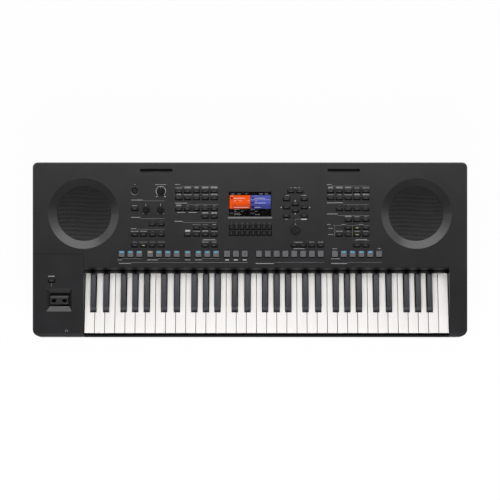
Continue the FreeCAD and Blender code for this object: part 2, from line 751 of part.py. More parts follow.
def panel_boards():
    """Boards that hang under the panel on bosses."""
    boards = []
    tall = f"(-{BOARD_TOP} - wall/2)"
    for name, (left, right, front, rear) in BOARDS.items():
        boards.append(box(name, left, front, f"{BOARD_TOP} - board_thickness", f"({right}) - ({left})",
                          f"({rear}) - ({front})", "board_thickness"))
        ends = [f"{left} + boss_inset", f"{right} - boss_inset"]
        rows = [f"{front} + boss_inset", f"{rear} - boss_inset"]
        if name == "front_board":
            rows = ["(row_pads + pad_depth/2 + row_low - button_depth/2)/2"]
            ends += ["(pad_break + pads_ending)/2"]
        for index, (x, w) in enumerate((x, w) for x in ends for w in rows):
            panel_adds.append(cylinder(f"{name}_boss_{index}", x, w, BOARD_TOP, "boss_radius", tall))
    half = "(button_width/2 + 2*boss_radius + boss_inset/2)"
    boards.append(box("modulation_board", f"{MODULATION_X} - {half}", "modulation_row - board_margin",
                      f"{BOARD_TOP} - board_thickness", f"2*{half}", "2*board_margin", "board_thickness"))
    for side in (-1, 1):
        panel_adds.append(cylinder(f"modulation_boss_{side + 1}",
                                   f"{MODULATION_X} + {side}*({half} - boss_radius)",
                                   "modulation_row", BOARD_TOP, "boss_radius", tall))
    keep("panel_boards", on_panel(group("boards", boards)))
    keep("tact_switches", on_panel(group("switches", switches)))


JACKS = [f"({start} + {pick}*jack_pitch)" for start in ("jack_column", "pedal_column") for pick in range(2)]
REAR_IN = f"({rear_at('jack_level + jack_height/2')} - wall - seat_gap)"
REAR_OUT = f"({rear_at('jack_level')})"
JACK_BOARD = "(jack_level - jack_height/2)"
case_holes = []


def sockets():
    """Jacks, USB sockets and supply inlet on the rear wall, and the headphone jack on the front wall."""
    jacks = []
    for index, x in enumerate(JACKS):
        block = middle_box(f"jack_{index}", x, f"{REAR_IN} - jack_length/2", JACK_BOARD, "jack_width",
                           "jack_length",
                           "jack_height")
        nose = cylinder(f"jack_nose_{index}", x, f"{REAR_IN} - wall", "jack_level", "bushing_radius",
                        f"{REAR_OUT} - {REAR_IN} + wall", "y")
        bore = cylinder(f"jack_bore_{index}", x, f"{REAR_OUT} - jack_bore_depth", "jack_level", "jack_bore",
                        "jack_bore_depth + wall", "y")
        jacks.append(cut(f"jack_solid_{index}", fuse(f"jack_full_{index}", [block, nose]), bore))
        case_holes.append(cylinder(f"jack_hole_{index}", x, f"{REAR_IN} - wall", "jack_level",
                                   "bushing_radius + bushing_gap", "jack_length", "y"))
    x = f"(-{CASE_W}/2 + phones_from_side)"
    inner = f"({FRONT} + wall + seat_gap)"
    block = middle_box("phones", x, f"{inner} + jack_length/2", "phones_level - jack_height/2", "jack_width",
                       "jack_length", "jack_height")
    nose = cylinder("phones_nose", x, FRONT, "phones_level", "bushing_radius", "2*wall", "y")
    bore = cylinder("phones_bore", x, f"{FRONT} - wall", "phones_level", "jack_bore",
                    "jack_bore_depth + wall", "y")
    jacks.append(cut("phones_solid", fuse("phones_full", [block, nose]), bore))
    case_holes.append(cylinder("phones_hole", x, f"{FRONT} - wall", "phones_level",
                               "bushing_radius + bushing_gap",
                               "3*wall", "y"))
    keep("audio_jacks", group("jacks", jacks))

    ports = []
    for name in ("usb_host", "usb_device"):
        x, wide, tall = f"{name}_x", f"{name}_width", f"{name}_height"
        shell = box(name, f"{x} - {wide}/2", f"{REAR_OUT} - usb_length", JACK_BOARD, wide, "usb_length", tall)
        hollow = box(f"{name}_hollow", f"{x} - {wide}/2 + usb_sheet", f"{REAR_OUT} - usb_length + usb_back",
                     f"{JACK_BOARD} + usb_sheet", f"{wide} - 2*usb_sheet", "usb_length",
                     f"{tall} - 2*usb_sheet")
        ports.append(cut(f"{name}_shell", shell, hollow))
        case_holes.append(box(f"{name}_hole", f"{x} - {wide}/2 - bushing_gap", f"{REAR_OUT} - usb_length",
                              f"{JACK_BOARD} - bushing_gap", f"{wide} + 2*bushing_gap", "2*usb_length",
                              f"{tall} + 2*bushing_gap"))
    keep("usb_ports", group("usb_group", ports))

    block = middle_box("inlet_block", "supply_x", f"{REAR_IN} - supply_block/2", JACK_BOARD, "supply_block",
                       "supply_block",
                       "supply_block")
    level = f"({JACK_BOARD} + supply_block/2)"
    nose = cylinder("inlet_nose", "supply_x", f"{REAR_IN} - wall", level, "bushing_radius",
                    f"{REAR_OUT} - {REAR_IN} + wall",
                    "y")
    well = cylinder("inlet_well", "supply_x", f"{REAR_OUT} - supply_depth", level, "supply_bore",
                    "supply_depth + wall", "y")
    core = cylinder("inlet_core", "supply_x", f"{REAR_OUT} - supply_depth - usb_sheet", level, "supply_pin",
                    "supply_depth", "y")
    inlet = fuse("inlet", [cut("inlet_hollow", fuse("inlet_full", [block, nose]), well), core])
    keep("dc_inlet", group("inlet_group", [inlet]))
    case_holes.append(cylinder("inlet_hole", "supply_x", f"{REAR_IN} - wall", level,
                               "bushing_radius + bushing_gap",
                               "jack_length", "y"))


# Case screws: places from the sides and from the front, the panel's edge or the rear
SCREW_SIDE = f"({CASE_W}/2 - screw_from_side)"
SCREW_REAR = f"({CASE_D}/2 - screw_from_rear)"
SCREWS = [(f"({side}*{SCREW_SIDE})", y) for side in (-1, 1)
          for y in (f"({FRONT} + screw_from_front)", f"({PANEL_Y} + screw_behind_keys)", SCREW_REAR)]
SCREWS += [("screw_rear_first", SCREW_REAR), ("screw_rear_second", SCREW_REAR)]


def top_case():
    """Shell with the sloping panel, end blocks, dishes, pockets and every opening."""
    over = f"({CASE_H} + wall)"
    under = "(parting_level - wall)"
    outer = loft("top_outer_loft", [outline("top_low", "parting_level", 0, rear_at("parting_level")),
                                    outline("top_high", over, 0, rear_at(over))])
    inner = loft("top_inner_loft", [outline("top_in_low", under, "wall", rear_at(under)),
                                    outline("top_in_high", over, "wall", rear_at(over))])
    big = f"({CASE_W} + 2*left_block)"
    sky = on_panel(group("sky", [box("sky_box", f"-{big}/2", f"-{CASE_D}", 0, big, f"2*{CASE_D}", CASE_H)]))
    ceiling = on_panel(group("ceiling",
                             [box("ceiling_box", f"-{big}/2", f"-{CASE_D}", "-wall", big, f"2*{CASE_D}",
                                             CASE_H)]))
    bevel_angle = "atan(bevel_drop/bevel_depth)"
    start = f"({PANEL_Z} - ({PANEL_Y} - {FRONT} - bevel_depth)*tan(panel_slope) - bevel_drop)"
    reach = "(bevel_depth + bevel_drop)"
    bevels = []
    for word, sink in (("outer", "0"), ("inner", "wall")):
        tool = box(f"{word}_bevel", f"-{big}/2", 0, 0, big, f"4*{reach}", f"4*{reach}")
        place(turn(tool, (1, 0, 0), bevel_angle), f"-{big}/2",
              f"{FRONT} - {reach}*cos({bevel_angle}) + {sink}*sin({bevel_angle})",
              f"{start} - {reach}*sin({bevel_angle}) - {sink}*cos({bevel_angle})")
        bevels.append(tool)
    block = cut("top_block", cut("top_under_sky", outer, sky), bevels[0])
    doc.recompute()
    round_block = doc.addObject("Part::Fillet", "top_round")
    round_block.Base = block
    round_block.Edges = [(index, number("edge_round"), number("edge_round"))
                         for index, edge in enumerate(block.Shape.Edges, 1) if on_top_rim(edge)]
    hollow = cut("top_hollow", cut("top_under_ceiling", inner, ceiling), bevels[1])
    shell = cut("top_shell", round_block, hollow)

    tangent = f"({PANEL_Y} + lip_radius*(1 - sin(panel_slope)))"
    opening = box("key_opening", OPEN_LEFT, f"{FRONT} - wall", "parting_level - wall", OPEN_W,
                  f"{tangent} - {FRONT} + wall", CASE_H)
    open_shell = cut("top_open", shell, opening)
    lip_z = f"({PANEL_Z} + ({tangent} - {PANEL_Y})*tan(panel_slope) - lip_radius*cos(panel_slope))"
    lips = []
    for word, radius in (("outer", "lip_radius"), ("inner", "lip_radius - wall")):
        lip = doc.addObject("Part::Cylinder", f"lip_{word}")
        bind(lip, Radius=radius, Height=f"{OPEN_W} + 2*wall")
        # The sector starts towards the front and ends along the panel's normal
        quarter = FreeCAD.Rotation(FreeCAD.Vector(0, -1, 0), FreeCAD.Vector(0, 0, 1), FreeCAD.Vector(-1, 0,
                                                                                                     0))
        lip.Placement = FreeCAD.Placement(FreeCAD.Vector(), quarter)
        bind(lip, Angle="90 - panel_slope" if word == "outer" else "360")
        lips.append(place(lip, f"{OPEN_LEFT} + {OPEN_W} + wall", f"{PANEL_Y} + lip_radius", lip_z))
    lip = cut("panel_lip", *lips)
    slabs = [box("left_cheek", f"{OPEN_LEFT} - wall", FRONT, "parting_level", "wall",
                 f"{tangent} - {FRONT} + wall", CASE_H),
             box("right_cheek", f"{OPEN_LEFT} + {OPEN_W}", FRONT, "parting_level", "wall",
                 f"{tangent} - {FRONT} + wall", CASE_H)]
    cheeks = common("cheeks", block, group("cheek_slabs", slabs))
    posts = [cylinder(f"screw_boss_{index}", x, y, f"{BASE_TOP} + seat_gap", "screw_boss", CASE_H)
             for index, (x, y) in enumerate(SCREWS)]
    under_ceiling = on_panel(group("boss_ceiling",
                                   [box("boss_ceiling_box", f"-{big}/2", f"-{CASE_D}", "-wall/2", big,
                                                        f"2*{CASE_D}", f"2*{CASE_H}")]))
    bosses = cut("screw_bosses", group("screw_posts", posts), under_ceiling)
    full = fuse("top_full", [open_shell, lip, cheeks, bosses, on_panel(group("panel_add_group", panel_adds))])
    bores = [cylinder(f"screw_bore_{index}", x, y, "foot_height", "screw_radius + rod_clearance/2",
                      "screw_grip + wall")
             for index, (x, y) in enumerate(SCREWS)]
    holed = cut("top_holed", full, on_panel(group("panel_hole_group", panel_holes)))
    keep("top_case", cut("top_finished", holed, case_holes + bores))


def on_top_rim(edge):
    """Whether an edge lies on the panel's plane, along the outer rim behind the front bevel."""
    tilt = FreeCAD.Rotation(FreeCAD.Vector(1, 0, 0), number("panel_slope"))
    normal = tilt.multVec(FreeCAD.Vector(0, 0, 1))
    start = FreeCAD.Vector(0, number(PANEL_Y), number(PANEL_Z))
    ends = [vertex.Point for vertex in edge.Vertexes]
    flat = all(abs(normal.dot(point - start)) < 0.01 for point in ends)
    front = number(FRONT) + number("bevel_depth")
    return flat and not all(abs(point.y - front) < 0.01 for point in ends)


def bottom_case():
    """Tray with leaning walls, board bosses and screw holes."""
    rear = rear_at("parting_level")
    outer = loft("base_outer", [outline("base_low", "foot_height", "base_inset", rear),
                                outline("base_high", "parting_level", 0, rear)])
    inner = loft("base_inner", [outline("base_in_low", BASE_TOP, "base_inset + wall", rear),
                                outline("base_in_high", "parting_level + wall", "wall", rear)])
    tray = cut("tray", outer, inner)
    bosses = [cylinder(f"base_boss_{index}", x, y, "foot_height + wall/2", "boss_radius",
                       f"{top} - foot_height - wall/2")
              for index, (x, y, top) in enumerate(BASE_BOSSES)]
    holes = [cylinder(f"base_screw_hole_{index}", x, y, "foot_height - wall", "screw_radius + bushing_gap",
                      "3*wall")
             for index, (x, y) in enumerate(SCREWS)]
    keep("bottom_case", cut("base_finished", fuse("base_full", [tray] + bosses), holes))
    feet = []
    for x in (f"(-{CASE_W}/2 + foot_from_side)", "0", f"({CASE_W}/2 - foot_from_side)"):
        for y in (f"({FRONT} + foot_from_front)", f"({CASE_D}/2 - foot_from_front)"):
            feet.append(cone(f"foot_{len(feet)}", x, y, 0, "foot_radius - foot_taper", "foot_radius",
                             "foot_height"))
    keep("rubber_feet", group("feet", feet))
    screws = []
    for index, (x, y) in enumerate(SCREWS):
        head = cylinder(f"screw_head_{index}", x, y, "foot_height - screw_head", "screw_head_radius",
                        "screw_head")
        shank = cylinder(f"screw_shank_{index}", x, y, "foot_height - screw_head/2", "screw_radius",
                         "screw_grip + screw_head/2")
        screws.append(fuse(f"screw_{index}", [head, shank]))
    keep("case_screws", group("screws", screws))


MAIN_TOP = f"({BASE_TOP} + board_stand)"
JACK_LEFT = "(jack_column - jack_width)"
JACK_RIGHT = "(supply_x + jack_width)"
JACK_FRONT = f"({REAR_IN} - jack_length - boss_inset)"
BASE_BOSSES = [(x, y, MAIN_TOP) for x in ("main_left + boss_inset", "main_left + main_width - boss_inset")
               for y in ("main_front + boss_inset", "main_front + main_depth - boss_inset")]
BASE_BOSSES += [(f"({x})", f"({REAR_IN} - jack_length/2)", f"({JACK_BOARD} - board_thickness)")
                for x in (f"{JACK_LEFT} + boss_inset", f"({JACK_LEFT} + {JACK_RIGHT})/2",
                          f"{JACK_RIGHT} - boss_inset")]


def circuit_boards():
    """Main board on the base and jack board under the rear sockets."""
    main = box("main_board", "main_left", "main_front", MAIN_TOP, "main_width", "main_depth",
               "board_thickness")
    jack = box("jack_board", JACK_LEFT, JACK_FRONT, f"{JACK_BOARD} - board_thickness",
               f"{JACK_RIGHT} - {JACK_LEFT}",
               f"{REAR_IN} - wall/2 - {JACK_FRONT}", "board_thickness")
    keep("circuit_boards", group("fixed_boards", [main, jack]))


def front_rail():
    """Rail on the front wall of the base, under the key fronts."""
    inner = f"({FRONT} + rail_thickness)"
    points = [(FRONT, "parting_level"), (inner, "parting_level"), (inner, "rail_level"),
              (f"({FRONT} + rail_chamfer)", "rail_level"), (FRONT, "(rail_level - rail_chamfer_drop)")]
    body, sketch = profile("rail_body", "YZ_Plane", points)
    pad = body.newObject("PartDesign::Pad", "rail_pad")
    pad.Profile = sketch
    pad.Midplane = True
    bind(pad, Length=f"{OPEN_W} - 2*seat_gap")
    place(body, f"{OPEN_LEFT} + {OPEN_W}/2", 0, 0)
    keep("front_rail", body)


# Places along one octave, in white key pitches: rear middles of the naturals and of the sharps
SPLIT_LOW, SPLIT_HIGH = "3/5", "4/7"
NATURALS = [f"({k}*{SPLIT_LOW})" for k in (0.5, 2.5, 4.5)]
NATURALS += [f"(3 + {k}*{SPLIT_HIGH})" for k in (0.5, 2.5, 4.5, 6.5)]
SHARPS = [f"(1.5*{SPLIT_LOW} - c_sharp_shift/key_pitch)", f"(3.5*{SPLIT_LOW} + d_sharp_shift/key_pitch)"]
SHARPS += [f"(3 + {k}*{SPLIT_HIGH})" for k in (1.5, 3.5, 5.5)]
SHARP_LEFT = {1: 0, 2: 1, 4: 2, 5: 3, 6: 4}
SHARP_RIGHT = {0: 0, 1: 1, 3: 2, 4: 3, 5: 4}
ACTUATOR = (f"({KEY_FRONT} + contact_reach + (contact_width - actuator_width)/2)",
            f"({KEY_FRONT} + contact_reach + (contact_width + actuator_width)/2)")


def tail(name, middle):
    """Rear arm of a key, round the pivot rod."""
    return box(f"{name}_tail", f"{middle} - tail_width/2", f"{KEY_REAR} - key_wall", KEY_FLOOR, "tail_width",
               f"{PIVOT_Y} + tail_length - {KEY_REAR} + key_wall", "tail_height")


def tail_bore(name, middle):
    """Bore of a key's tail on the rod."""
    return cylinder(f"{name}_bore", f"{middle} - tail_width", PIVOT_Y, PIVOT_Z, "rod_radius + rod_clearance",
                    "2*tail_width", "x")


def white_key(name, step, middle, left_sharp, right_sharp):
    """Natural key: broad front with an overhanging lip, narrow rear between the sharps, hollow below."""
    left = f"({step}*key_pitch + key_gap/2)"
    right = f"(({step} + 1)*key_pitch - key_gap/2)"
    notch = "(black_width/2 + black_side_gap)"
    slim_left = left if left_sharp is None else f"({SHARPS[left_sharp]}*key_pitch + {notch})"
    slim_right = right if right_sharp is None else f"({SHARPS[right_sharp]}*key_pitch - {notch})"
    shoulder = f"({BLACK_FRONT} - black_front_gap)"
    slim = f"({slim_right} - {slim_left})"
    front = box(f"{name}_front", left, KEY_FRONT, KEY_FLOOR, f"{right} - {left}", f"{shoulder} - {KEY_FRONT}",
                "key_height")
    rear = box(f"{name}_rear", slim_left, f"{shoulder} - key_wall", KEY_FLOOR, slim,
               f"{KEY_REAR} - {shoulder} + key_wall", "key_height")
    full = fuse(f"{name}_full", [front, rear, tail(name, f"({middle}*key_pitch)")])
    under = f"{KEY_FLOOR} - key_wall"
    deep = "key_height - key_plate + key_wall"
    start, end = ACTUATOR
    tools = [
        box(f"{name}_lip", f"{left} - key_gap/4", f"{KEY_FRONT} - key_wall", under,
            f"{right} - {left} + key_gap/2",
            "key_lip + key_wall", "key_height - key_lip_thickness + key_wall"),
        box(f"{name}_hollow_front", f"{left} + key_wall", f"{KEY_FRONT} + key_lip + key_wall", under,
            f"{right} - {left} - 2*key_wall", f"{shoulder} - {KEY_FRONT} - key_lip - 2*key_wall", deep),
        box(f"{name}_hollow_middle", f"{slim_left} + key_wall", f"{shoulder} + key_wall", under,
            f"{slim} - 2*key_wall", f"{start} - {shoulder} - key_wall", deep),
        box(f"{name}_hollow_rear", f"{slim_left} + key_wall", end, under, f"{slim} - 2*key_wall",
            f"{KEY_REAR} - 2*key_wall - {end}", deep),
        tail_bore(name, f"({middle}*key_pitch)"),
    ]
    return cut(name, full, tools)


def black_key(name):
    """Sharp key: a cap with leaning sides and a sloping nose on a narrow hollow body."""
    length = f"({KEY_REAR} - {BLACK_FRONT})"
    top = "(key_level + black_rise)"
    low = f"({top} - black_cap)"
    middle = f"({KEY_REAR} + {BLACK_FRONT})/2"
    cap = frustum(f"{name}_cap", 0, middle, low, ("black_width", length),
                  ("black_top_width", f"{length} - black_front_slope"), "black_cap", "black_front_slope/2")
    body = middle_box(f"{name}_body", 0, middle, KEY_FLOOR, "black_width", length, f"{low} - {KEY_FLOOR}")
    full = fuse(f"{name}_full", [cap, body, tail(name, "0")])
    start, end = ACTUATOR
    slim = "(black_top_width - key_wall)"
    under = f"{KEY_FLOOR} - key_wall"
    deep = f"{top} - black_plate - {KEY_FLOOR} + key_wall"
    nose = f"({BLACK_FRONT} + black_front_slope)"
    tools = [middle_box(f"{name}_hollow_front", 0, f"({nose} + {start})/2", under, slim,
                        f"{start} - {nose}", deep),
             middle_box(f"{name}_hollow_rear", 0, f"({end} + {KEY_REAR})/2 - key_wall", under, slim,
                        f"{KEY_REAR} - {end} - 2*key_wall", deep),
             tail_bore(name, "0")]
    return cut(name, full, tools)


def copies(name, members):
    """Copies of key shapes, each moved along the key bed to its place."""
    items = []
    for index, (shape, shift) in enumerate(members):
        link = doc.addObject("App::Link", f"{name}_{index}")
        link.LinkedObject = shape
        items.append(place(link, f"{KEY_LEFT} + {shift}", 0, 0))
    keep(name, group(f"{name}_group", items))


def keys():
    """Five octaves of keys in three rows each, and the top key."""
    whites = [white_key(f"natural_{step}", step, middle, SHARP_LEFT.get(step), SHARP_RIGHT.get(step))
              for step, middle in enumerate(NATURALS)]
    black = black_key("sharp")
    for octave in range(OCTAVES):
        start = f"{7 * octave}*key_pitch"
        copies(f"white_keys_c_e_g_b_{octave + 1}", [(whites[step], start) for step in (0, 2, 4, 6)])
        copies(f"white_keys_d_f_a_{octave + 1}", [(whites[step], start) for step in (1, 3, 5)])
        copies(f"black_keys_{octave + 1}", [(black, f"{start} + {middle}*key_pitch") for middle in SHARPS])
    top = white_key("natural_top", 0, NATURALS[0], None, None)
    copies("white_key_top_c", [(top, f"{7 * OCTAVES}*key_pitch")])


def key_bed():
    """Chassis with ribs, rails and posts, the pivot rod, stop felts, contact board and contact rubber."""
    left = f"({KEY_LEFT} - key_end_gap/2)"
    wide = f"({WHITE_KEYS}*key_pitch + key_end_gap)"
    front = f"({KEY_FRONT} + key_lip)"
    rear = f"({PIVOT_Y} + tail_length + key_lip)"
    floor = f"({BED_TOP} - bed_plate)"
    parts = [box("bed_sheet", left, front, floor, wide, f"{rear} - {front}", "bed_plate")]
    ribs = 2 * OCTAVES + 1
    for index in range(ribs):
        parts.append(box(f"bed_rib_{index}", f"{left} + ({wide} - bed_rib)*{index}/{ribs - 1}", front,
                         BASE_TOP, "bed_rib",
                         f"{rear} - {front}", f"{floor} + bed_plate/2 - {BASE_TOP}"))
    down_y = f"({KEY_FRONT} + down_felt_reach)"
    down_top = f"({KEY_FLOOR} - ({PIVOT_Y} - {down_y})*{DIP} - seat_gap)"
    rest_y = f"({PIVOT_Y} + tail_length - felt_width/2)"
    rest_top = f"({KEY_FLOOR} - seat_gap)"
    felts = []
    for name, y, top, deep in (("down", down_y, down_top, "felt_width"), ("rest", rest_y, rest_top,
                                                                          "felt_width/2")):
        parts.append(box(f"{name}_rail", left, y, f"{BED_TOP} - bed_plate/2", wide, deep,
                         f"{top} - felt_thickness - {BED_TOP} + bed_plate/2"))
        felts.append(box(f"{name}_felt", left, y, f"{top} - felt_thickness", wide, deep, "felt_thickness"))
    keep("key_felt", group("felts", felts))
    seams = [f"({7 * octave})" for octave in range(OCTAVES + 1)]
    seams += [f"({7 * octave + 3})" for octave in range(OCTAVES)]
    seams += [f"({WHITE_KEYS})"]
    for index, seam in enumerate(seams):
        inward = "post_width/2 - key_end_gap/2"
        nudge = {0: inward, len(seams) - 1: f"-({inward})"}.get(index, "0")
        parts.append(middle_box(f"post_{index}", f"({KEY_LEFT} + {seam}*key_pitch + {nudge})", PIVOT_Y,
                                f"{BED_TOP} - bed_plate/2", "post_width", "tail_height",
                                f"{PIVOT_Z} + tail_height/2 - {BED_TOP} + bed_plate/2"))
    rod_hole = cylinder("rod_hole", f"{KEY_LEFT} - wall", PIVOT_Y, PIVOT_Z, "rod_radius + rod_clearance",
                        f"{OPEN_W} + 2*wall", "x")
    keep("key_chassis", cut("chassis", fuse("chassis_full", parts), rod_hole))
    rod = cylinder("rod", f"{left}", PIVOT_Y, PIVOT_Z, "rod_radius", wide, "x")
    keep("key_pivot_rod", group("rod_group", [rod]))
    contact_y = f"({KEY_FRONT} + contact_reach)"
    board = box("contact_strip", left, contact_y, BED_TOP, wide, "contact_width", "board_thickness")
    keep("contact_board", group("contact_board_group", [board]))
    base = f"({BED_TOP} + board_thickness)"
    middle = f"({contact_y} + contact_width/2)"
    dome_top = f"({KEY_FLOOR} - ({PIVOT_Y} - {middle} + dome_radius)*{DIP} - seat_gap)"
    strip = box("rubber_strip", left, contact_y, base, wide, "contact_width", "rubber_base")
    domes = [cylinder(f"dome_{octave}_{index}", f"({KEY_LEFT} + ({7 * octave} + {spot})*key_pitch)", middle,
                      f"{base} + rubber_base/2", "dome_radius", f"{dome_top} - {base} - rubber_base/2")
             for octave in range(OCTAVES + 1)
             for index, spot in enumerate((NATURALS + SHARPS) if octave < OCTAVES else NATURALS[:1])]
    keep("contact_rubber", fuse("rubber", [strip] + domes))


push_buttons()
power_button()
pots = knobs()
speakers()
display()
rest_slots()
pots.append(pitch_wheel())
keep("knob_potentiometers", group("pots", pots))
panel_boards()
sockets()
top_case()
bottom_case()
circuit_boards()
front_rail()
keys()
key_bed()
doc.recompute()

faults = [item.Name for item in doc.Objects if "Invalid" in item.State or "Error" in item.State]
faults += [name for name, item in nodes.items() if item.Shape.isNull() or not item.Shape.isValid()]
if faults:
    raise RuntimeError(f"pieces that failed: {faults}")
os.makedirs("parts", exist_ok=True)
for name, item in nodes.items():
    item.Shape.exportStep(f"parts/{name}.step")
print(len(nodes), "pieces,", sum(len(item.Shape.Solids) for item in nodes.values()), "solids")
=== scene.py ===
# %% [markdown]
# An arranger keyboard, dressed for its portrait.
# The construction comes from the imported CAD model, and this script only gives it looks: finishes, rounded
# caps, print, lamps and the lit display. No CAD part is moved or resized here. Where one is too plain, a
# finer piece is shown in its place.

# %% Load the frame
import json
import math

import bpy
import numpy as np
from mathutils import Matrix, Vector


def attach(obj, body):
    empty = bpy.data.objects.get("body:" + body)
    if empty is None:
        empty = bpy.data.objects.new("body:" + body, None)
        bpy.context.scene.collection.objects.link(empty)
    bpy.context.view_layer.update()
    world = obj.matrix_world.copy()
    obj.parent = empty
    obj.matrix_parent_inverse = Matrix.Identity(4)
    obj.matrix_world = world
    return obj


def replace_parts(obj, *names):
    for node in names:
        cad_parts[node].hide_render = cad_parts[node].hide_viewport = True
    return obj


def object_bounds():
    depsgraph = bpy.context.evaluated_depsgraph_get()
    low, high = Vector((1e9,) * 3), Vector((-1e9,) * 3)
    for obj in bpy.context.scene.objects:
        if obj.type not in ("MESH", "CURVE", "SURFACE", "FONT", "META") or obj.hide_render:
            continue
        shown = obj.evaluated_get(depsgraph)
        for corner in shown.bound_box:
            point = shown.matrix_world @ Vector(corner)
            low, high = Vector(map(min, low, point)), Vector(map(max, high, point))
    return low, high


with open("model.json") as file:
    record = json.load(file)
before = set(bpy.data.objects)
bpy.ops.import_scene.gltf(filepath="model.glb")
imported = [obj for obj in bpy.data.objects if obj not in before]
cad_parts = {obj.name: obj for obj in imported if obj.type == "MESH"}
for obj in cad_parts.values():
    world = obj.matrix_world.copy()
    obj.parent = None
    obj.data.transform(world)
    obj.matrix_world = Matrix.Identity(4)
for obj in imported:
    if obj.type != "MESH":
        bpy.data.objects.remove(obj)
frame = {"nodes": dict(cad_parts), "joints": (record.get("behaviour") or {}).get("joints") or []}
cad_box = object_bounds()
NODES = frame["nodes"]
JOINTS = {joint["name"]: joint for joint in frame["joints"]}
MM = 0.001
print("CAD box in metres:", [[round(value, 4) for value in corner] for corner in cad_box])

# %% [markdown]
# Nearly every control sits on one sloping panel, so places are easiest to give on that panel:
# x to the right, w up the slope from the panel's front edge, and n out of the surface, in millimetres.
# The data dial turns about the panel's normal, so its joint gives the slope and a point to start from.

# %% Panel coordinates
DIAL_X, DIAL_W = 104.8, 96.5
dial_joint = JOINTS["data_dial_turn"]
PANEL_N = np.array(dial_joint["axis"], float)
PANEL_X = np.array([1.0, 0.0, 0.0])
PANEL_W = np.cross(PANEL_N, PANEL_X)
PANEL_AXES = np.stack([PANEL_X, PANEL_W, PANEL_N])
PANEL_ORIGIN = np.array(dial_joint["pos_m"]) - MM * (DIAL_X * PANEL_X + DIAL_W * PANEL_W)


def on_panel(points):
    """Panel millimetres to metres of the frame: origin + x X + w W + n N."""
    return PANEL_ORIGIN + MM * (np.asarray(points, float) @ PANEL_AXES)


def from_panel(points):
    """Metres of the frame to panel millimetres, the inverse of on_panel."""
    return (np.asarray(points, float) - PANEL_ORIGIN) @ PANEL_AXES.T / MM


print("panel slope in degrees:", round(math.degrees(math.asin(PANEL_W[2])), 2))

# %% [markdown]
# The photograph looks straight down on the sloping panel, so the camera stands on the panel's normal,
# a little in front of the vertical. A long lens from far away keeps the two ends from bulging.

# %% Camera
CAMERA_ELEVATION = 81.0
CAMERA_DISTANCE = 2.6
CAMERA_AIM = Vector((0.0, -0.008, 0.099))
CAMERA_LENS = 81.0

angle = math.radians(CAMERA_ELEVATION)
toward = Vector((0.0, -math.cos(angle), math.sin(angle)))
camera = bpy.data.objects.new("camera", bpy.data.cameras.new("camera"))
camera.data.lens = CAMERA_LENS
camera.location = CAMERA_AIM + CAMERA_DISTANCE * toward
camera.rotation_euler = (-toward).to_track_quat("-Z", "Y").to_euler()
bpy.context.scene.collection.objects.link(camera)
bpy.context.scene.camera = camera
bpy.context.scene.view_settings.view_transform = "Standard"
print("camera at", [round(value, 3) for value in camera.location])

# %% [markdown]
# Materials and the light of the room are graphs of nodes. The same small steps come back in all of them: to
# set a socket or link it, to work out a product or a maximum, and to fade a value along an axis. Helpers
# hold these steps, so that later cells only say what a graph is for.


# %% Node helpers
def new_nodes(tree, *kinds):
    """New shader nodes of the given kinds, in order."""
    return [tree.nodes.new(f"ShaderNode{kind}") for kind in kinds]


def feed(tree, value, socket):
    """Links a socket to another one, or sets it to a number."""
    if isinstance(value, bpy.types.NodeSocket):
        tree.links.new(value, socket)
    else:
        socket.default_value = value


def combine(tree, operation, first, second=0.0):
    """The product, maximum or other Math operation of two values, each a socket or a number."""
    node = tree.nodes.new("ShaderNodeMath")
    node.operation = operation
    feed(tree, first, node.inputs[0])
    feed(tree, second, node.inputs[1])
    return node.outputs[0]


def fade(tree, axis, start, end, low=0.0, high=1.0, system="Object"):
    """A value that runs in a line from low to high between two places on an axis, and keeps its end values
    beyond them."""
    place, split, ramp = new_nodes(tree, "TexCoord", "SeparateXYZ", "MapRange")
    for socket, value in zip(("From Min", "From Max", "To Min", "To Max"), (start, end, low, high)):
        ramp.inputs[socket].default_value = value
    tree.links.new(place.outputs[system], split.inputs[0])
    tree.links.new(split.outputs[axis], ramp.inputs["Value"])
    return ramp.outputs["Result"]


def any_seen(tree, mirrored=1.0):
    """One where a camera or transmission ray looks at the surface, the share mirrored where a glossy ray
    does, else zero."""
    rays = tree.nodes.new("ShaderNodeLightPath").outputs
    gloss = combine(tree, "MULTIPLY", rays["Is Glossy Ray"], mirrored)
    first = combine(tree, "MAXIMUM", rays["Is Camera Ray"], gloss)
    return combine(tree, "MAXIMUM", first, rays["Is Transmission Ray"])


print("node helpers:", [helper.__name__ for helper in (new_nodes, feed, combine, fade, any_seen)])

# %% [markdown]
# The bright lower rims of the speaker dishes show where the main sheen comes from: a wide soft box behind
# the instrument, at about forty degrees, with weaker ones over it and at the sides. The boxes named sheen
# show in gloss alone. The box in front lights matt surfaces alone, as if flagged off, so the keys come out
# white while the panel stays dark. What the camera and reflections see of the room is white at the walls and
# darker at the ceiling, as in a studio.


# %% Light
def soft_box(name, place, aim, wide, tall, watts, matt=True, gloss=True):
    """A rectangular area lamp at a place, turned to its aim. It can light matt or glossy surfaces alone."""
    lamp = bpy.data.lights.new(name, "AREA")
    lamp.shape = "RECTANGLE"
    lamp.size, lamp.size_y, lamp.energy = wide, tall, watts
    item = bpy.data.objects.new(name, lamp)
    item.location = place
    item.rotation_euler = (Vector(aim) - Vector(place)).to_track_quat("-Z", "Y").to_euler()
    item.visible_camera, item.visible_diffuse, item.visible_glossy = False, matt, gloss
    bpy.context.scene.collection.objects.link(item)
    return item


LAMP_AIM = (0.0, 0.0, 0.08)
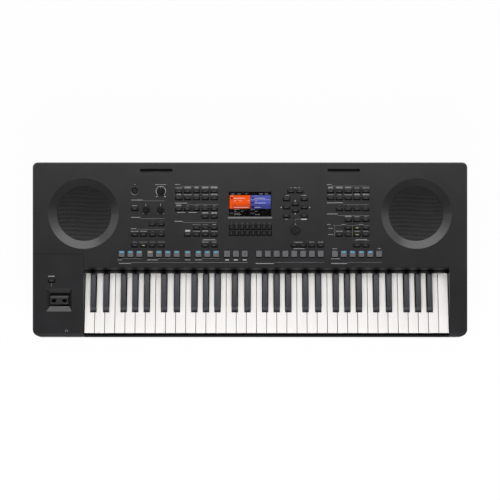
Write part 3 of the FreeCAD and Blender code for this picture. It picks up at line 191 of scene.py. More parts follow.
# Place, aim, width and height in metres, and watts
soft_box("rear_box", (0.0, 1.05, 1.0), LAMP_AIM, 2.4, 0.9, 3.5)
soft_box("rear_sheen", (0.0, 1.06, 1.01), LAMP_AIM, 2.4, 0.9, 27.0, matt=False)
soft_box("top_box", (0.0, 0.85, 1.75), LAMP_AIM, 2.6, 0.9, 4.5)
soft_box("top_sheen", (0.0, 0.45, 1.88), LAMP_AIM, 1.6, 0.5, 6.2, matt=False)
for side, word in ((-1, "left"), (1, "right")):
    soft_box(f"{word}_sheen", (1.5 * side, 0.4, 1.1), LAMP_AIM, 1.0, 1.2, 8.0, matt=False)
soft_box("front_box", (0.0, -1.75, 1.3), LAMP_AIM, 1.7, 1.2, 45.5, gloss=False)

ROOM_LIGHT, WALL_LIGHT, CEILING_LIGHT = 0.39, 1.0, 0.07
# How far up a direction points where the walls end and where the ceiling starts
WALL_END, CEILING_START = 0.02, 0.26
world = bpy.data.worlds.new("studio")
bpy.context.scene.world = world
world.use_nodes = True
tree = world.node_tree
room = tree.nodes["Background"]
room.inputs["Color"].default_value = (1.0, 1.0, 1.0, 1.0)
height = fade(tree, "Z", WALL_END, CEILING_START, WALL_LIGHT, CEILING_LIGHT, "Generated")
height.node.interpolation_type = "SMOOTHSTEP"
level = tree.nodes.new("ShaderNodeMix")
for socket, value in (("Factor", any_seen(tree)), ("A", ROOM_LIGHT), ("B", height)):
    feed(tree, value, level.inputs[socket])
tree.links.new(level.outputs["Result"], room.inputs["Strength"])
print("lamps:", [item.name for item in bpy.data.lights])

# %% [markdown]
# The photograph's ground is pure white. A white floor under plain light comes out a little grey, so most
# of what the camera sees of it is emission of strength one. The rest is ordinary white, which keeps the
# soft shadow under the instrument.

# %% Floor
FLOOR_HALF, FLOOR_GLOW, FLOOR_MIRRORED = 30.0, 0.96, 0.5
FLOOR_CORNERS = FLOOR_HALF * np.array([(-1, -1, 0), (1, -1, 0), (1, 1, 0), (-1, 1, 0)])

floor_mesh = bpy.data.meshes.new("floor")
floor_mesh.from_pydata(FLOOR_CORNERS.tolist(), [], [(0, 1, 2, 3)])
floor = bpy.data.objects.new("floor", floor_mesh)
bpy.context.scene.collection.objects.link(floor)
paper = bpy.data.materials.new("floor_white")
paper.use_nodes = True
tree = paper.node_tree
white = tree.nodes["Principled BSDF"]
white.inputs["Base Color"].default_value = (0.9, 0.9, 0.9, 1.0)
white.inputs["Roughness"].default_value = 0.9
white.inputs["Specular IOR Level"].default_value = 0.0
glow, blend = new_nodes(tree, "Emission", "MixShader")
share = combine(tree, "MULTIPLY", any_seen(tree, FLOOR_MIRRORED), FLOOR_GLOW)
tree.links.new(share, blend.inputs["Fac"])
tree.links.new(white.outputs[0], blend.inputs[1])
tree.links.new(glow.outputs[0], blend.inputs[2])
tree.links.new(blend.outputs[0], tree.nodes["Material Output"].inputs["Surface"])
floor_mesh.materials.append(paper)
print("floor half width in metres:", FLOOR_HALF)

# %% [markdown]
# Moulded plastic is never one flat colour. A spark-eroded mould leaves a fine grain that breaks up the
# gloss, and the tone drifts a little over a large panel. Two noises on Object coordinates give both: a
# fine one for grain and roughness, a broad one for the drift of colour.

# %% Plastic finish
TONE_STOPS = (0.3, 0.7)
GRAIN_DETAIL, SHEEN_SPREAD, SHEEN_LEAST = 3.0, 0.08, 0.02


def finish(name, color, roughness, grain=0.6, bump=0.02, drift=0.12, broad=60.0, **sockets):
    """A moulded finish: fine noise of size grain mm lifts the surface by bump mm and scatters roughness,
    broad noise of size broad mm shifts the colour by the share drift. Other sockets are set by name."""
    material = bpy.data.materials.new(name)
    material.use_nodes = True
    tree = material.node_tree
    link, shader = tree.links.new, tree.nodes["Principled BSDF"]
    for socket, value in sockets.items():
        shader.inputs[socket.replace("_", " ")].default_value = value
    place, fine, wide, tone = new_nodes(tree, "TexCoord", "TexNoise", "TexNoise", "ValToRGB")
    fine.inputs["Scale"].default_value = 1.0 / (grain * MM)
    fine.inputs["Detail"].default_value = GRAIN_DETAIL
    wide.inputs["Scale"].default_value = 1.0 / (broad * MM)
    for stop, position, factor in zip(tone.color_ramp.elements, TONE_STOPS, (1.0 - drift, 1.0 + drift)):
        stop.position = position
        stop.color = (*[min(channel * factor, 1.0) for channel in color], 1.0)
    sheen, relief = new_nodes(tree, "MapRange", "Bump")
    sheen.inputs["To Min"].default_value = max(roughness - SHEEN_SPREAD, SHEEN_LEAST)
    sheen.inputs["To Max"].default_value = min(roughness + SHEEN_SPREAD, 1.0)
    relief.inputs["Distance"].default_value = bump * MM
    link(place.outputs["Object"], fine.inputs["Vector"])
    link(place.outputs["Object"], wide.inputs["Vector"])
    link(wide.outputs["Fac"], tone.inputs["Fac"])
    link(tone.outputs["Color"], shader.inputs["Base Color"])
    link(fine.outputs["Fac"], sheen.inputs["Value"])
    link(sheen.outputs["Result"], shader.inputs["Roughness"])
    link(fine.outputs["Fac"], relief.inputs["Height"])
    link(relief.outputs["Normal"], shader.inputs["Normal"])
    return material


def lamp_finish(name, color, strength, roughness=0.35, **sockets):
    """A lens lit from behind: emission of the colour, a little uneven, under a satin face."""
    material = finish(name, color, roughness, grain=0.8, bump=0.005, drift=0.1, broad=4.0, **sockets)
    nodes = material.node_tree.nodes
    shader, tone = nodes["Principled BSDF"], nodes["Color Ramp"]
    material.node_tree.links.new(tone.outputs["Color"], shader.inputs["Emission Color"])
    shader.inputs["Emission Strength"].default_value = strength
    return material


def tint(material, factor, share=1.0):
    """Multiplies the base colour of a finish by a factor, as far as the share says."""
    tree = material.node_tree
    mix = tree.nodes.new("ShaderNodeMix")
    mix.data_type, mix.blend_type = "RGBA", "MULTIPLY"
    feed(tree, share, mix.inputs["Factor"])
    tree.links.new(tree.nodes["Color Ramp"].outputs["Color"], mix.inputs["A"])
    tree.links.new(factor, mix.inputs["B"])
    tree.links.new(mix.outputs["Result"], tree.nodes["Principled BSDF"].inputs["Base Color"])


print("roughness scatters by", SHEEN_SPREAD, "either way")

# %% [markdown]
# The case and the base share a charcoal plastic, the base with a coarser grain. White keys are polished
# and hardly textured, black keys are satin with a fine grain. Buttons and knobs are darker than the panel,
# and the pads along its front are mid grey. One table holds a finish for each slot of the record, so every
# part takes its look from the material that the CAD gave it. What is inside has its own finish too.

# %% Finishes by the record's slots
FINISH = {
    "case_charcoal": finish("case_charcoal_grain", (0.0135, 0.0135, 0.0147), 0.36, 0.5, 0.02,
                            Specular_IOR_Level=0.45),
    "base_black": finish("base_black_grain", (0.009, 0.009, 0.0095), 0.6, 0.9, 0.06,
                         Specular_IOR_Level=0.3),
    "key_white": finish("key_white_polish", (0.84, 0.82, 0.80), 0.22, 1.5, 0.002, drift=0.012,
                        broad=35.0),
    "key_black": finish("key_black_satin", (0.032, 0.033, 0.040), 0.34, 0.4, 0.01, drift=0.1),
    "button_black": finish("button_black_satin", (0.0078, 0.0078, 0.0086), 0.36, 0.3, 0.01,
                           Specular_IOR_Level=0.38),
    "button_grey": finish("button_grey_satin", (0.095, 0.095, 0.102), 0.42, 0.3, 0.01, drift=0.06),
    "knob_black": finish("knob_black_satin", (0.003, 0.003, 0.0033), 0.42, 0.3, 0.01,
                         Specular_IOR_Level=0.2),
    "wheel_black": finish("wheel_soft_touch", (0.024, 0.024, 0.025), 0.36, 0.3, 0.01,
                          Specular_IOR_Level=0.45),
    "grille_black": finish("grille_black_satin", (0.014, 0.014, 0.0145), 0.5, 0.4, 0.01,
                           Specular_IOR_Level=0.4),
    "display_panel": finish("display_black", (0.002, 0.002, 0.0025), 0.4, 0.4, 0.002,
                            Specular_IOR_Level=0.03),
    "socket_black": finish("socket_black_moulded", (0.014, 0.014, 0.014), 0.5, 0.5, 0.02),
    "socket_steel": finish("socket_plated", (0.55, 0.55, 0.56), 0.3, 0.4, 0.01, drift=0.08, Metallic=1.0),
    "screw_steel": finish("screw_blackened", (0.12, 0.12, 0.125), 0.38, 0.4, 0.01, Metallic=1.0),
    "foot_rubber": finish("foot_rubber_matt", (0.014, 0.014, 0.014), 0.85, 0.7, 0.05),
    "chassis_grey": finish("chassis_grey_moulded", (0.12, 0.12, 0.12), 0.6, 0.8, 0.04),
    "stop_felt": finish("stop_felt_wool", (0.30, 0.03, 0.03), 0.95, 0.35, 0.25, drift=0.3, broad=3.0,
                        Sheen_Weight=0.3),
    "contact_rubber": finish("contact_silicone", (0.30, 0.30, 0.30), 0.7, 0.5, 0.02),
    "board_green": finish("board_solder_mask", (0.03, 0.16, 0.06), 0.4, 0.6, 0.03, drift=0.25, broad=9.0),
    "speaker_steel": finish("speaker_painted", (0.03, 0.03, 0.03), 0.45, 0.6, 0.02),
    "speaker_paper": finish("speaker_pulp", (0.022, 0.022, 0.022), 0.9, 0.5, 0.12, drift=0.2, broad=6.0),
    "speaker_magnet": finish("speaker_ferrite", (0.06, 0.06, 0.062), 0.6, 0.5, 0.03),
}
print("finishes:", len(FINISH))

# %% [markdown]
# White plastic throws light about inside a narrow gap, so a render leaves the gaps between keys paler than
# they look. The keys' own finishes are darkened instead: colour and gloss fade with the depth below the
# tops, but not near the front, where the ends of the keys are in full light. The moulded front of the case
# has a coarser grain than its panel, so its gloss is lower.

# %% Shade between the keys
SHADE_LEAST = 0.03
# Where shade starts below the top, the depth over which it falls, and how far behind the front, all in mm
WHITE_SHADE, BLACK_SHADE = (0.04, 0.4, 1.0), (0.8, 3.0, 9.0)
FRONT_DEEP, FRONT_GLOSS = 8.0, 0.1


def gloss_socket(material):
    """The socket that sets how strongly a finish mirrors."""
    return material.node_tree.nodes["Principled BSDF"].inputs["Specular IOR Level"]


def darken_gaps(material, node, start, deep, behind):
    """Multiplies colour and gloss by a factor: one down to start mm below the top of a node, almost nothing
    from deep mm further down, and one wherever the front is less than behind mm away."""
    tree, corners = material.node_tree, np.array(NODES[node].bound_box)
    top = corners[:, 2].max() - start * MM
    front = corners[:, 1].min() + behind * MM
    factor = combine(tree, "MAXIMUM", fade(tree, "Z", top - deep * MM, top, SHADE_LEAST),
                     fade(tree, "Y", front + MM, front, SHADE_LEAST))
    gloss = gloss_socket(material)
    feed(tree, combine(tree, "MULTIPLY", factor, gloss.default_value), gloss)
    tint(material, factor)


def dull_front(material, front, deep, level):
    """Lowers the gloss to a level within deep mm of the front, with a short slope up to the full gloss."""
    gloss = gloss_socket(material)
    ends = front + (deep - 1.0) * MM, front + deep * MM
    feed(material.node_tree, fade(material.node_tree, "Y", *ends, level, gloss.default_value), gloss)


dull_front(FINISH["case_charcoal"], cad_box[0][1], FRONT_DEEP, FRONT_GLOSS)
darken_gaps(FINISH["key_white"], "white_key_top_c", *WHITE_SHADE)
darken_gaps(FINISH["key_black"], "black_keys_1", *BLACK_SHADE)
print("shade starts below the key tops, in mm:", WHITE_SHADE[0], BLACK_SHADE[0])

# %% [markdown]
# A pressed or moulded edge is never knife sharp, and the thin highlight along it is what makes plastic
# look real. The CAD meshes stay untouched. A chain of live modifiers rounds them: merge the triangles'
# shared corners, dissolve the flat ones, bevel the sharp edges, and shade smooth up to an angle.

# %% Rounded edges by modifiers
MERGE_WITHIN, FLAT_ANGLE, SHARP_ANGLE = 0.002, 0.5, 40.0
# Width in mm and steps of the rounded edges of keys
WHITE_EDGE, BLACK_EDGE = (0.6, 3), (1.8, 4)


def geometry_group(name):
    """Geometry nodes that take a geometry in and give one out, with the two end nodes."""
    group = bpy.data.node_groups.new(name, "GeometryNodeTree")
    for way in ("INPUT", "OUTPUT"):
        group.interface.new_socket("Geometry", in_out=way, socket_type="NodeSocketGeometry")
    return group, group.nodes.new("NodeGroupInput"), group.nodes.new("NodeGroupOutput")


def chain(group, *nodes):
    """Links the first output of each node to the first input of the next."""
    for before, after in zip(nodes, nodes[1:]):
        group.links.new(before.outputs[0], after.inputs[0])


def merge_group():
    """Geometry nodes that drop the imported corner normals and merge corners that coincide."""
    group, start, end = geometry_group("merge_corners")
    bare = group.nodes.new("GeometryNodeRemoveAttribute")
    bare.inputs["Name"].default_value = "custom_normal"
    merge = group.nodes.new("GeometryNodeMergeByDistance")
    merge.inputs["Distance"].default_value = MERGE_WITHIN * MM
    chain(group, start, bare, merge, end)
    return group


def smooth_group():
    """Geometry nodes that shade every face smooth and keep edges over the sharp angle sharp."""
    group, start, end = geometry_group("smooth_by_angle")
    smooth, crease = (group.nodes.new("GeometryNodeSetShadeSmooth") for _ in range(2))
    crease.domain = "EDGE"
    crease.inputs["Shade Smooth"].default_value = False
    corner = group.nodes.new("GeometryNodeInputMeshEdgeAngle")
    over = group.nodes.new("FunctionNodeCompare")
    over.inputs[1].default_value = math.radians(SHARP_ANGLE)
    group.links.new(over.outputs[0], crease.inputs["Selection"])
    chain(group, corner, over)
    chain(group, start, smooth, crease, end)
    return group


MERGE, SMOOTH = merge_group(), smooth_group()


def round_edges(item, width, segments):
    """Bevels the edges of an object that turn by more than the sharp angle, to a width in millimetres."""
    item.modifiers.new("merge", "NODES").node_group = MERGE
    flat = item.modifiers.new("flat", "DECIMATE")
    flat.decimate_type = "DISSOLVE"
    flat.angle_limit = math.radians(FLAT_ANGLE)
    bevel = item.modifiers.new("bevel", "BEVEL")
    bevel.width, bevel.segments = width * MM, segments
    bevel.use_clamp_overlap = False
    bevel.limit_method = "ANGLE"
    bevel.angle_limit = math.radians(SHARP_ANGLE)
    item.modifiers.new("smooth", "NODES").node_group = SMOOTH


for name, node in NODES.items():
    slot = node.material_slots[0].material.name.split(".")[0]
    if slot in FINISH:
        node.material_slots[0].material = FINISH[slot]
    if name.startswith("white_key"):
        round_edges(node, *WHITE_EDGE)
    if name.startswith("black_key"):
        round_edges(node, *BLACK_EDGE)
print("rounded nodes:", sum(bool(node.modifiers) for node in NODES.values()))

# %% [markdown]
# New pieces are grids worked out with numpy. Most of them are one idea: a closed loop, such as a rounded
# rectangle or a circle, carried up a profile of insets and heights. The loops become rings of corners, and
# neighbouring rings are joined by quads. A shape is the pair of its corners and its faces.


# %% Mesh helpers
def make_piece(name, shape, body, material, smooth=True):
    """Puts a shape, corners in metres and faces, into a mesh object that rides on a body."""
    points, faces = shape
    mesh = bpy.data.meshes.new(name)
    mesh.from_pydata(np.asarray(points).reshape(-1, 3).tolist(), [], faces)
    mesh.materials.append(material)
    mesh.polygons.foreach_set("use_smooth", np.full(len(mesh.polygons), smooth))
    mesh.update()
    item = bpy.data.objects.new(name, mesh)
    bpy.context.scene.collection.objects.link(item)
    if smooth:
        item.modifiers.new("smooth", "NODES").node_group = SMOOTH
    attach(item, body)
    return item


def rounded_loop(wide, deep, radius, steps=4):
    """Corners of a rectangle with round corners: each is a quarter circle about a point inside its corner."""
    turns = (np.arange(4)[:, None] + np.linspace(0.0, 1.0, steps)) * math.pi / 2
    corners = np.array([[1, 1], [-1, 1], [-1, -1], [1, -1]])
    centres = corners * (np.array([wide, deep]) / 2 - radius)
    arcs = centres[:, None] + radius * np.stack([np.cos(turns), np.sin(turns)], -1)
    return arcs.reshape(-1, 2)


def ring_faces(rings, around, copies=1, hollow=False):
    """Quads between neighbouring rings, for each copy. A hollow shape joins its last ring to the first,
    any other one gets a closing face on both."""
    grid = np.arange(rings * around).reshape(rings, around)
    grid = np.concatenate([grid, grid[:1]]) if hollow else grid
    after = np.roll(grid, -1, axis=1)
    quads = np.stack([grid[:-1], after[:-1], after[1:], grid[1:]], -1).reshape(-1, 4)
    shifts = np.arange(copies) * rings * around
    faces = (quads + shifts[:, None, None]).reshape(-1, 4).tolist()
    if hollow:
        return faces
    faces += (grid[0, ::-1] + shifts[:, None]).tolist()
    return faces + (grid[-1] + shifts[:, None]).tolist()


ROUND_LEAST = 0.1


def caps(centres, wide, deep, radius, profile, hollow=False):
    """Rounded caps at panel places. Each profile step gives a height, and how far its loop stands in from
    the block's sides, front and rear."""
    heights, side, front, rear = np.array(profile, float).T
    loops = np.array([rounded_loop(wide - 2 * s, deep - f - r, max(radius - s, ROUND_LEAST))
                      for s, f, r in zip(side, front, rear)])
    loops[..., 1] += (front - rear)[:, None] / 2
    rings = np.concatenate([loops, np.broadcast_to(heights[:, None, None], (*loops.shape[:2], 1))], -1)
    places = np.concatenate([centres, np.zeros((len(centres), 1))], -1)
    return on_panel(places[:, None, None, :] + rings), ring_faces(*loops.shape[:2], len(centres), hollow)


def even(steps):
    """Profile steps of a height and one inset, given to the sides, the front and the rear alike."""
    return [(height, inset, inset, inset) for inset, height in steps]


def carried(section, ends):
    """A section in w and n, carried in a line along x from one end to the other."""
    points = np.stack([np.insert(section, 0, end, axis=1) for end in ends])
    return on_panel(points), ring_faces(2, len(section))


CUBE = np.stack(np.meshgrid([-0.5, 0.5], [-0.5, 0.5], [-0.5, 0.5], indexing="ij"), -1).reshape(8, 3)
CUBE_FACES = np.array([[0, 1, 3, 2], [4, 6, 7, 5], [0, 4, 5, 1], [2, 3, 7, 6], [0, 2, 6, 4], [1, 5, 7, 3]])


def plates(centres, sizes):
    """Thin blocks on the panel: the eight corners of a unit cube times each size, moved to each centre."""
    centres, sizes = np.asarray(centres, float), np.asarray(sizes, float)
    points = centres[:, None] + sizes[:, None] * CUBE
    faces = (CUBE_FACES + 8 * np.arange(len(centres))[:, None, None]).reshape(-1, 4).tolist()
    return on_panel(points), faces


def corners_of(mesh):
    """The corners of a mesh, one row of x, y and z for each."""
    flat = np.empty(3 * len(mesh.vertices))
    mesh.vertices.foreach_get("co", flat)
    return flat.reshape(-1, 3)


def panel_boxes(node):
    """Middles and sizes, in panel millimetres, of the boxes in a CAD node: twelve triangles make one."""
    mesh = NODES[node].data
    order = np.empty(len(mesh.loops), int)
    mesh.loops.foreach_get("vertex_index", order)
    solid = from_panel(corners_of(mesh)[order]).reshape(-1, 36, 3)
    low, high = solid.min(1), solid.max(1)
    return (low + high)[:, :2] / 2, (high - low)[:, :2]


print("panel boxes of the tempo buttons:", panel_boxes("tempo_buttons")[0].round(1).tolist()[:3])

# %% [markdown]
# Push buttons are small caps with soft edges and a very slightly hollow top for the finger. The CAD holds
# them as plain blocks. A bevel would round the blocks, but it wouldn't hollow their tops, so each block
# gives its cap's place and size, and the cap replaces it. A black frame round each cap is painted shade:
# it darkens the gap round the cap, and it is widest in front, for the shadow that each cap casts forward,
# where the caps look as if they had a dark lip.

# %% Push buttons
SMALL_GROUPS = ["tempo_buttons", "style_buttons", "song_buttons", "control_buttons", "navigation_buttons",
                "setup_buttons", "voice_buttons", "part_buttons", "modulation_button"]
PAD_GROUPS = ["style_control_buttons", "registration_buttons", "one_touch_buttons"]
# Slot of the caps, how far they stand in from their blocks at the sides, front and rear, and how far their
# frames stand out
SMALL_CAP = ("button_black", (0.6, 1.0, 0.0), (0.8, 1.4, 0.3))
PAD_CAP = ("button_grey", (0.0, 0.0, 0.0), (1.0, 2.2, 0.4))
CATEGORY_CAP = ("button_black", (1.2, 1.3, 0.2), (0.6, 0.9, 0.4))
CAP_KINDS = {**dict.fromkeys(SMALL_GROUPS, SMALL_CAP), **dict.fromkeys(PAD_GROUPS, PAD_CAP),
             "category_buttons": CATEGORY_CAP}
CAP_ROUND = 1.1
# Inset and height of each step
CAP_STEPS = [(0.25, -7.0), (0.0, -6.7), (0.0, 0.9), (0.1, 1.4), (0.4, 1.85), (0.9, 2.0), (1.5, 1.93),
             (2.2, 1.88)]
FRAME_LOW, FRAME_HIGH, FRAME_GAP = -0.1, 0.12, 0.25
# Near black for painted shade round the caps and the power button and in the wheel's hollows. It also draws
# the real seams of the left block
SHADE_AND_SEAM_FINISH = finish("shade_and_seam_black", (0.0012, 0.0012, 0.0013), 0.7, 0.4, 0.01, Specular_IOR_Level=0.02)

CAPS = {}
for group, (slot, trim, rim) in CAP_KINDS.items():
    middles, sizes = panel_boxes(group)
    wide, deep = sizes.mean(0)
    profile = [(height, *(inset + share for share in trim)) for inset, height in CAP_STEPS]
    shape = caps(middles, wide, deep, CAP_ROUND, profile)
    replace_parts(make_piece(f"{group}_caps", shape, group, FINISH[slot]), group)
    outer, inner = [-share for share in rim], [share - FRAME_GAP for share in trim]
    profile = [(FRAME_LOW, *outer), (FRAME_HIGH, *outer), (FRAME_HIGH, *inner), (FRAME_LOW, *inner)]
    shape = caps(middles, wide, deep, CAP_ROUND, profile, hollow=True)
    # Painted shade: a dark frame round the cap's opening, widest in front where the cap's shadow falls
    make_piece(f"{group}_frames", shape, "case", SHADE_AND_SEAM_FINISH, smooth=False)
    CAPS[group] = middles
print("caps:", sum(len(middles) for middles in CAPS.values()))

# %% [markdown]
# Most caps carry a faint legend, and a few legends are lit yellow. Many grey pads have a small lamp along
# their rear edge, blue or yellow. Legends here are plain bars, because the instrument carries no words.
# They could be drawn in a texture. Thin plates stay sharp at any size, and they ride on the same bodies as
# their caps.

# %% Legends and lamps on the caps
PRINT_THICK, LEGEND_N = 0.12, 1.86
LEGEND_BAR, LIT_BAR, CATEGORY_BAR, START_BAR = (6.6, 1.1), (7.0, 1.8), (1.5, 4.6), (12.0, 4.4)
LAMP_BAR, PAD_MARK = (9.0, 2.9), (4.2, 4.2)
LIT_SHIFT, LAMP_SHIFT = np.array([0.0, -0.6]), np.array([0.0, 3.9])
LIT_PLACES = {"tempo_buttons": [(-245.75, 60.0)], "part_buttons": [(246.95, 100.6), (246.95, 85.0)]}
LIT_WITHIN = 3.0
START_PLACE = (-143.84, 85.6)
LEGEND_FINISH = finish("legend_grey", (0.06, 0.06, 0.063), 0.5, 0.3, 0.005, drift=0.2, broad=2.0)
FAINT_FINISH = finish("legend_faint", (0.026, 0.026, 0.027), 0.5, 0.3, 0.005, drift=0.2, broad=2.0)
START_FINISH = finish("start_grey", (0.048, 0.048, 0.05), 0.45, 0.3, 0.01, drift=0.06)
YELLOW_FINISH = lamp_finish("legend_yellow_lit", (0.28, 0.24, 0.10), 0.4)
BLUE_LAMP_FINISH = lamp_finish("lamp_blue_lit", (0.05, 0.24, 0.36), 0.42)
YELLOW_LAMP_FINISH = lamp_finish("lamp_yellow_lit", (0.26, 0.235, 0.12), 0.2)


def bars(name, group, centres, size, material):
    """Flat bars on the cap tops of one group, at panel places."""
    count = len(centres)
    middles = np.column_stack([centres, np.full(count, LEGEND_N)])
    shape = plates(middles, np.tile([*size, PRINT_THICK], (count, 1)))
    return make_piece(name, shape, group, material, smooth=False)


for group in SMALL_GROUPS:
    lit = np.array(LIT_PLACES.get(group, [])).reshape(-1, 2)
    apart = np.linalg.norm(CAPS[group][:, None] - lit[None], axis=-1)
    is_lit = (apart < LIT_WITHIN).any(axis=1)
    bars(f"{group}_legends", group, CAPS[group][~is_lit], LEGEND_BAR, LEGEND_FINISH)
    if is_lit.any():
        bars(f"{group}_lit", group, CAPS[group][is_lit] + LIT_SHIFT, LIT_BAR, YELLOW_FINISH)
bars("category_legends", "category_buttons", CAPS["category_buttons"], CATEGORY_BAR, FAINT_FINISH)
bars("start_plate", "control_buttons", [START_PLACE], START_BAR, START_FINISH)

pads, touch = (CAPS[group][np.argsort(CAPS[group][:, 0])]
               for group in ("style_control_buttons", "one_touch_buttons"))
blue = np.concatenate([pads[:3], pads[4:11]])
bars("style_lamps_blue", "style_control_buttons", blue + LAMP_SHIFT, LAMP_BAR, BLUE_LAMP_FINISH)
bars("style_lamp_yellow", "style_control_buttons", pads[3:4] + LAMP_SHIFT, LAMP_BAR, YELLOW_LAMP_FINISH)
bars("style_legends", "style_control_buttons", pads[11:], PAD_MARK, LEGEND_FINISH)
bars("touch_lamps_blue", "one_touch_buttons", touch[1:5] + LAMP_SHIFT, LAMP_BAR, BLUE_LAMP_FINISH)
print("lamps on pads:", len(blue) + len(pads[3:4]) + len(touch[1:5]))

# %% [markdown]
# Knobs are turned shapes: a skirt, a fluted grip and a slightly hollow top with a grey pointer. A Screw
# modifier would spin a profile, but it wouldn't flute it. Here the surface is a radius that depends on the
# turn angle and on the step along the profile, so the flutes are a cosine that fades out at the skirt and
# at the top. A dull dark disc under each knob is a painted shadow: it reaches out in front of the knob,
# where the panel looks darker.

# %% Turned pieces
KNOB_PROFILE = [(3.0, 0.85, 0), (7.2, 0.85, 0), (7.4, 1.05, 0), (7.4, 1.9, 0), (7.1, 2.3, 0),
                (6.95, 2.7, 1), (6.8, 7.6, 1), (6.7, 8.3, 0.5), (6.4, 8.8, 0), (5.9, 9.0, 0),
                (5.3, 8.9, 0), (3.0, 8.75, 0), (0.4, 8.7, 0)]
FLUTES, FLUTE_DEEP, DENT_REACH = 24, 0.45, 1.5
KNOB_NAMES = ["master_volume_knob", "live_knob_left", "live_knob_right"]
KNOBS = {name: from_panel(JOINTS[f"{name}_turn"]["pos_m"])[:2] for name in KNOB_NAMES}
POINTER_W, POINTER_N, POINTER_SIZE = 4.6, 8.88, (0.9, 3.6, 0.22)
# Painted shadow: a dull dark disc on the panel, shifted to the front of each knob
SHADOW_DISC_PROFILE = [(9.6, -0.1, 0), (9.6, 0.02, 0), (0.3, 0.02, 0)]
SHADOW_DISC_SHIFT = np.array([0.0, -2.6])
SHADOW_DISC_FINISH = finish("knob_shade", (0.0085, 0.0085, 0.009), 0.5, 0.5, 0.02, Specular_IOR_Level=0.28)
POINTER_FINISH = finish("pointer_grey", (0.035, 0.035, 0.036), 0.55, 0.3, 0.004, drift=0.06, broad=3.0)


def turned(centre, profile, flutes=0, depth=0.0, around=72, dent=None, hollow=False):
    """A turned piece on the panel: each profile step gives a radius, a height and a share of the flutes.
    The radius shrinks by share * depth * (1 - cos(flutes * angle)) / 2. A dent (x, radius, lift) lowers the
    top to a sphere of that radius whose middle is x beside the axis and lift above the top. Only rings near
    the top sink."""
    angle = np.linspace(0.0, 2 * math.pi, around, endpoint=False)
    radius, height, share = (np.array(column)[:, None] for column in zip(*profile))
    wave = (1.0 - np.cos(flutes * angle)) / 2
    reach = radius - share * depth * wave
    points = np.stack([reach * np.cos(angle), reach * np.sin(angle), height + 0.0 * angle], -1)
    if dent:
        aside, ball, lift = dent
        apart = np.hypot(points[..., 0] - aside, points[..., 1])
        sink = np.sqrt(np.maximum(ball ** 2 - apart ** 2, 0.0)) - lift
        on_top = height > height.max() - DENT_REACH
        points[..., 2] -= np.where(on_top, np.maximum(sink, 0.0), 0.0)
    points[..., :2] += centre
    return on_panel(points), ring_faces(len(profile), around, hollow=hollow)


for name, centre in KNOBS.items():
    shape = turned(centre, KNOB_PROFILE, FLUTES, FLUTE_DEEP, around=144)
    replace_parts(make_piece(f"{name}_grip", shape, name, FINISH["knob_black"]), name)
    shape = plates([[centre[0], centre[1] + POINTER_W, POINTER_N]], [POINTER_SIZE])
    make_piece(f"{name}_pointer", shape, name, POINTER_FINISH, smooth=False)
    # The painted shadow in front of the knob
    shape = turned(centre + SHADOW_DISC_SHIFT, SHADOW_DISC_PROFILE, around=48)
    make_piece(f"{name}_shade", shape, "case", SHADOW_DISC_FINISH)
print("knobs:", {name: centre.round(1).tolist() for name, centre in KNOBS.items()})

# %% [markdown]
# The data dial is flat on top, with a round dent beside its middle for a fingertip. The dent is part of a
# sphere, so the top has many rings to follow it. The power button is turned too. It sits low in a raised
# rim, with a black frame round it that is painted shade for the gap round the button.

# %% Dial and power button
DIAL_RIM = [(3.0, 0.85, 0), (10.4, 0.85, 0), (10.6, 1.05, 0), (10.6, 6.3, 0), (10.35, 6.95, 0),
            (9.8, 7.25, 0)]
DIAL_TOP, DIAL_FLAT, DIAL_RINGS, DIAL_DENT = 7.3, (9.2, 0.2), 28, (4.6, 6.0, 5.6)
DIAL_FINISH = finish("dial_charcoal", (0.006, 0.006, 0.0065), 0.38, 0.4, 0.01, Specular_IOR_Level=0.35)
flat = [(radius, DIAL_TOP, 0) for radius in np.linspace(*DIAL_FLAT, DIAL_RINGS)]
shape = turned((DIAL_X, DIAL_W), DIAL_RIM + flat, around=96, dent=DIAL_DENT)
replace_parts(make_piece("data_dial_cap", shape, "data_dial", DIAL_FINISH), "data_dial")

POWER_AT = (-266.1, 185.0)
POWER_PROFILE = [(5.0, -7.0, 0), (5.2, -6.8, 0), (5.2, -1.7, 0), (5.05, -1.3, 0), (4.6, -1.05, 0),
                 (4.0, -1.0, 0), (2.6, -1.15, 0), (0.3, -1.25, 0)]
POWER_RIM = [(10.2, -0.1, 0), (9.9, 0.9, 0), (9.5, 1.0, 0), (7.0, -0.4, 0), (6.9, -0.9, 0)]
# A black ring of painted shade in the gap round the power button
POWER_SHADE_FRAME = [(7.2, -0.75, 0), (7.2, -0.55, 0), (5.35, -0.55, 0), (5.35, -0.75, 0)]
shape = turned(POWER_AT, POWER_PROFILE, around=64)
piece = make_piece("power_button_cap", shape, "power_button", FINISH["button_black"])
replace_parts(piece, "power_button")
shape = turned(POWER_AT, POWER_RIM, around=64, hollow=True)
make_piece("power_button_rim", shape, "case", FINISH["case_charcoal"])
# Painted shade in the gap round the button
shape = turned(POWER_AT, POWER_SHADE_FRAME, around=64, hollow=True)
make_piece("power_button_shade_frame", shape, "case", SHADE_AND_SEAM_FINISH)
print("dial rings:", len(DIAL_RIM) + DIAL_RINGS)

# %% [markdown]
# The pitch wheel is a roller with a raised grip. The grip has a shallow groove for the finger and two oval
# hollows, each with a near-black plate of painted shade on its floor. The wheel's radius is one formula of
# the place along the axle and of the turn, so the whole wheel is a single grid. It turns about its joint, and
# it stands a little to the left there, as in the photograph.

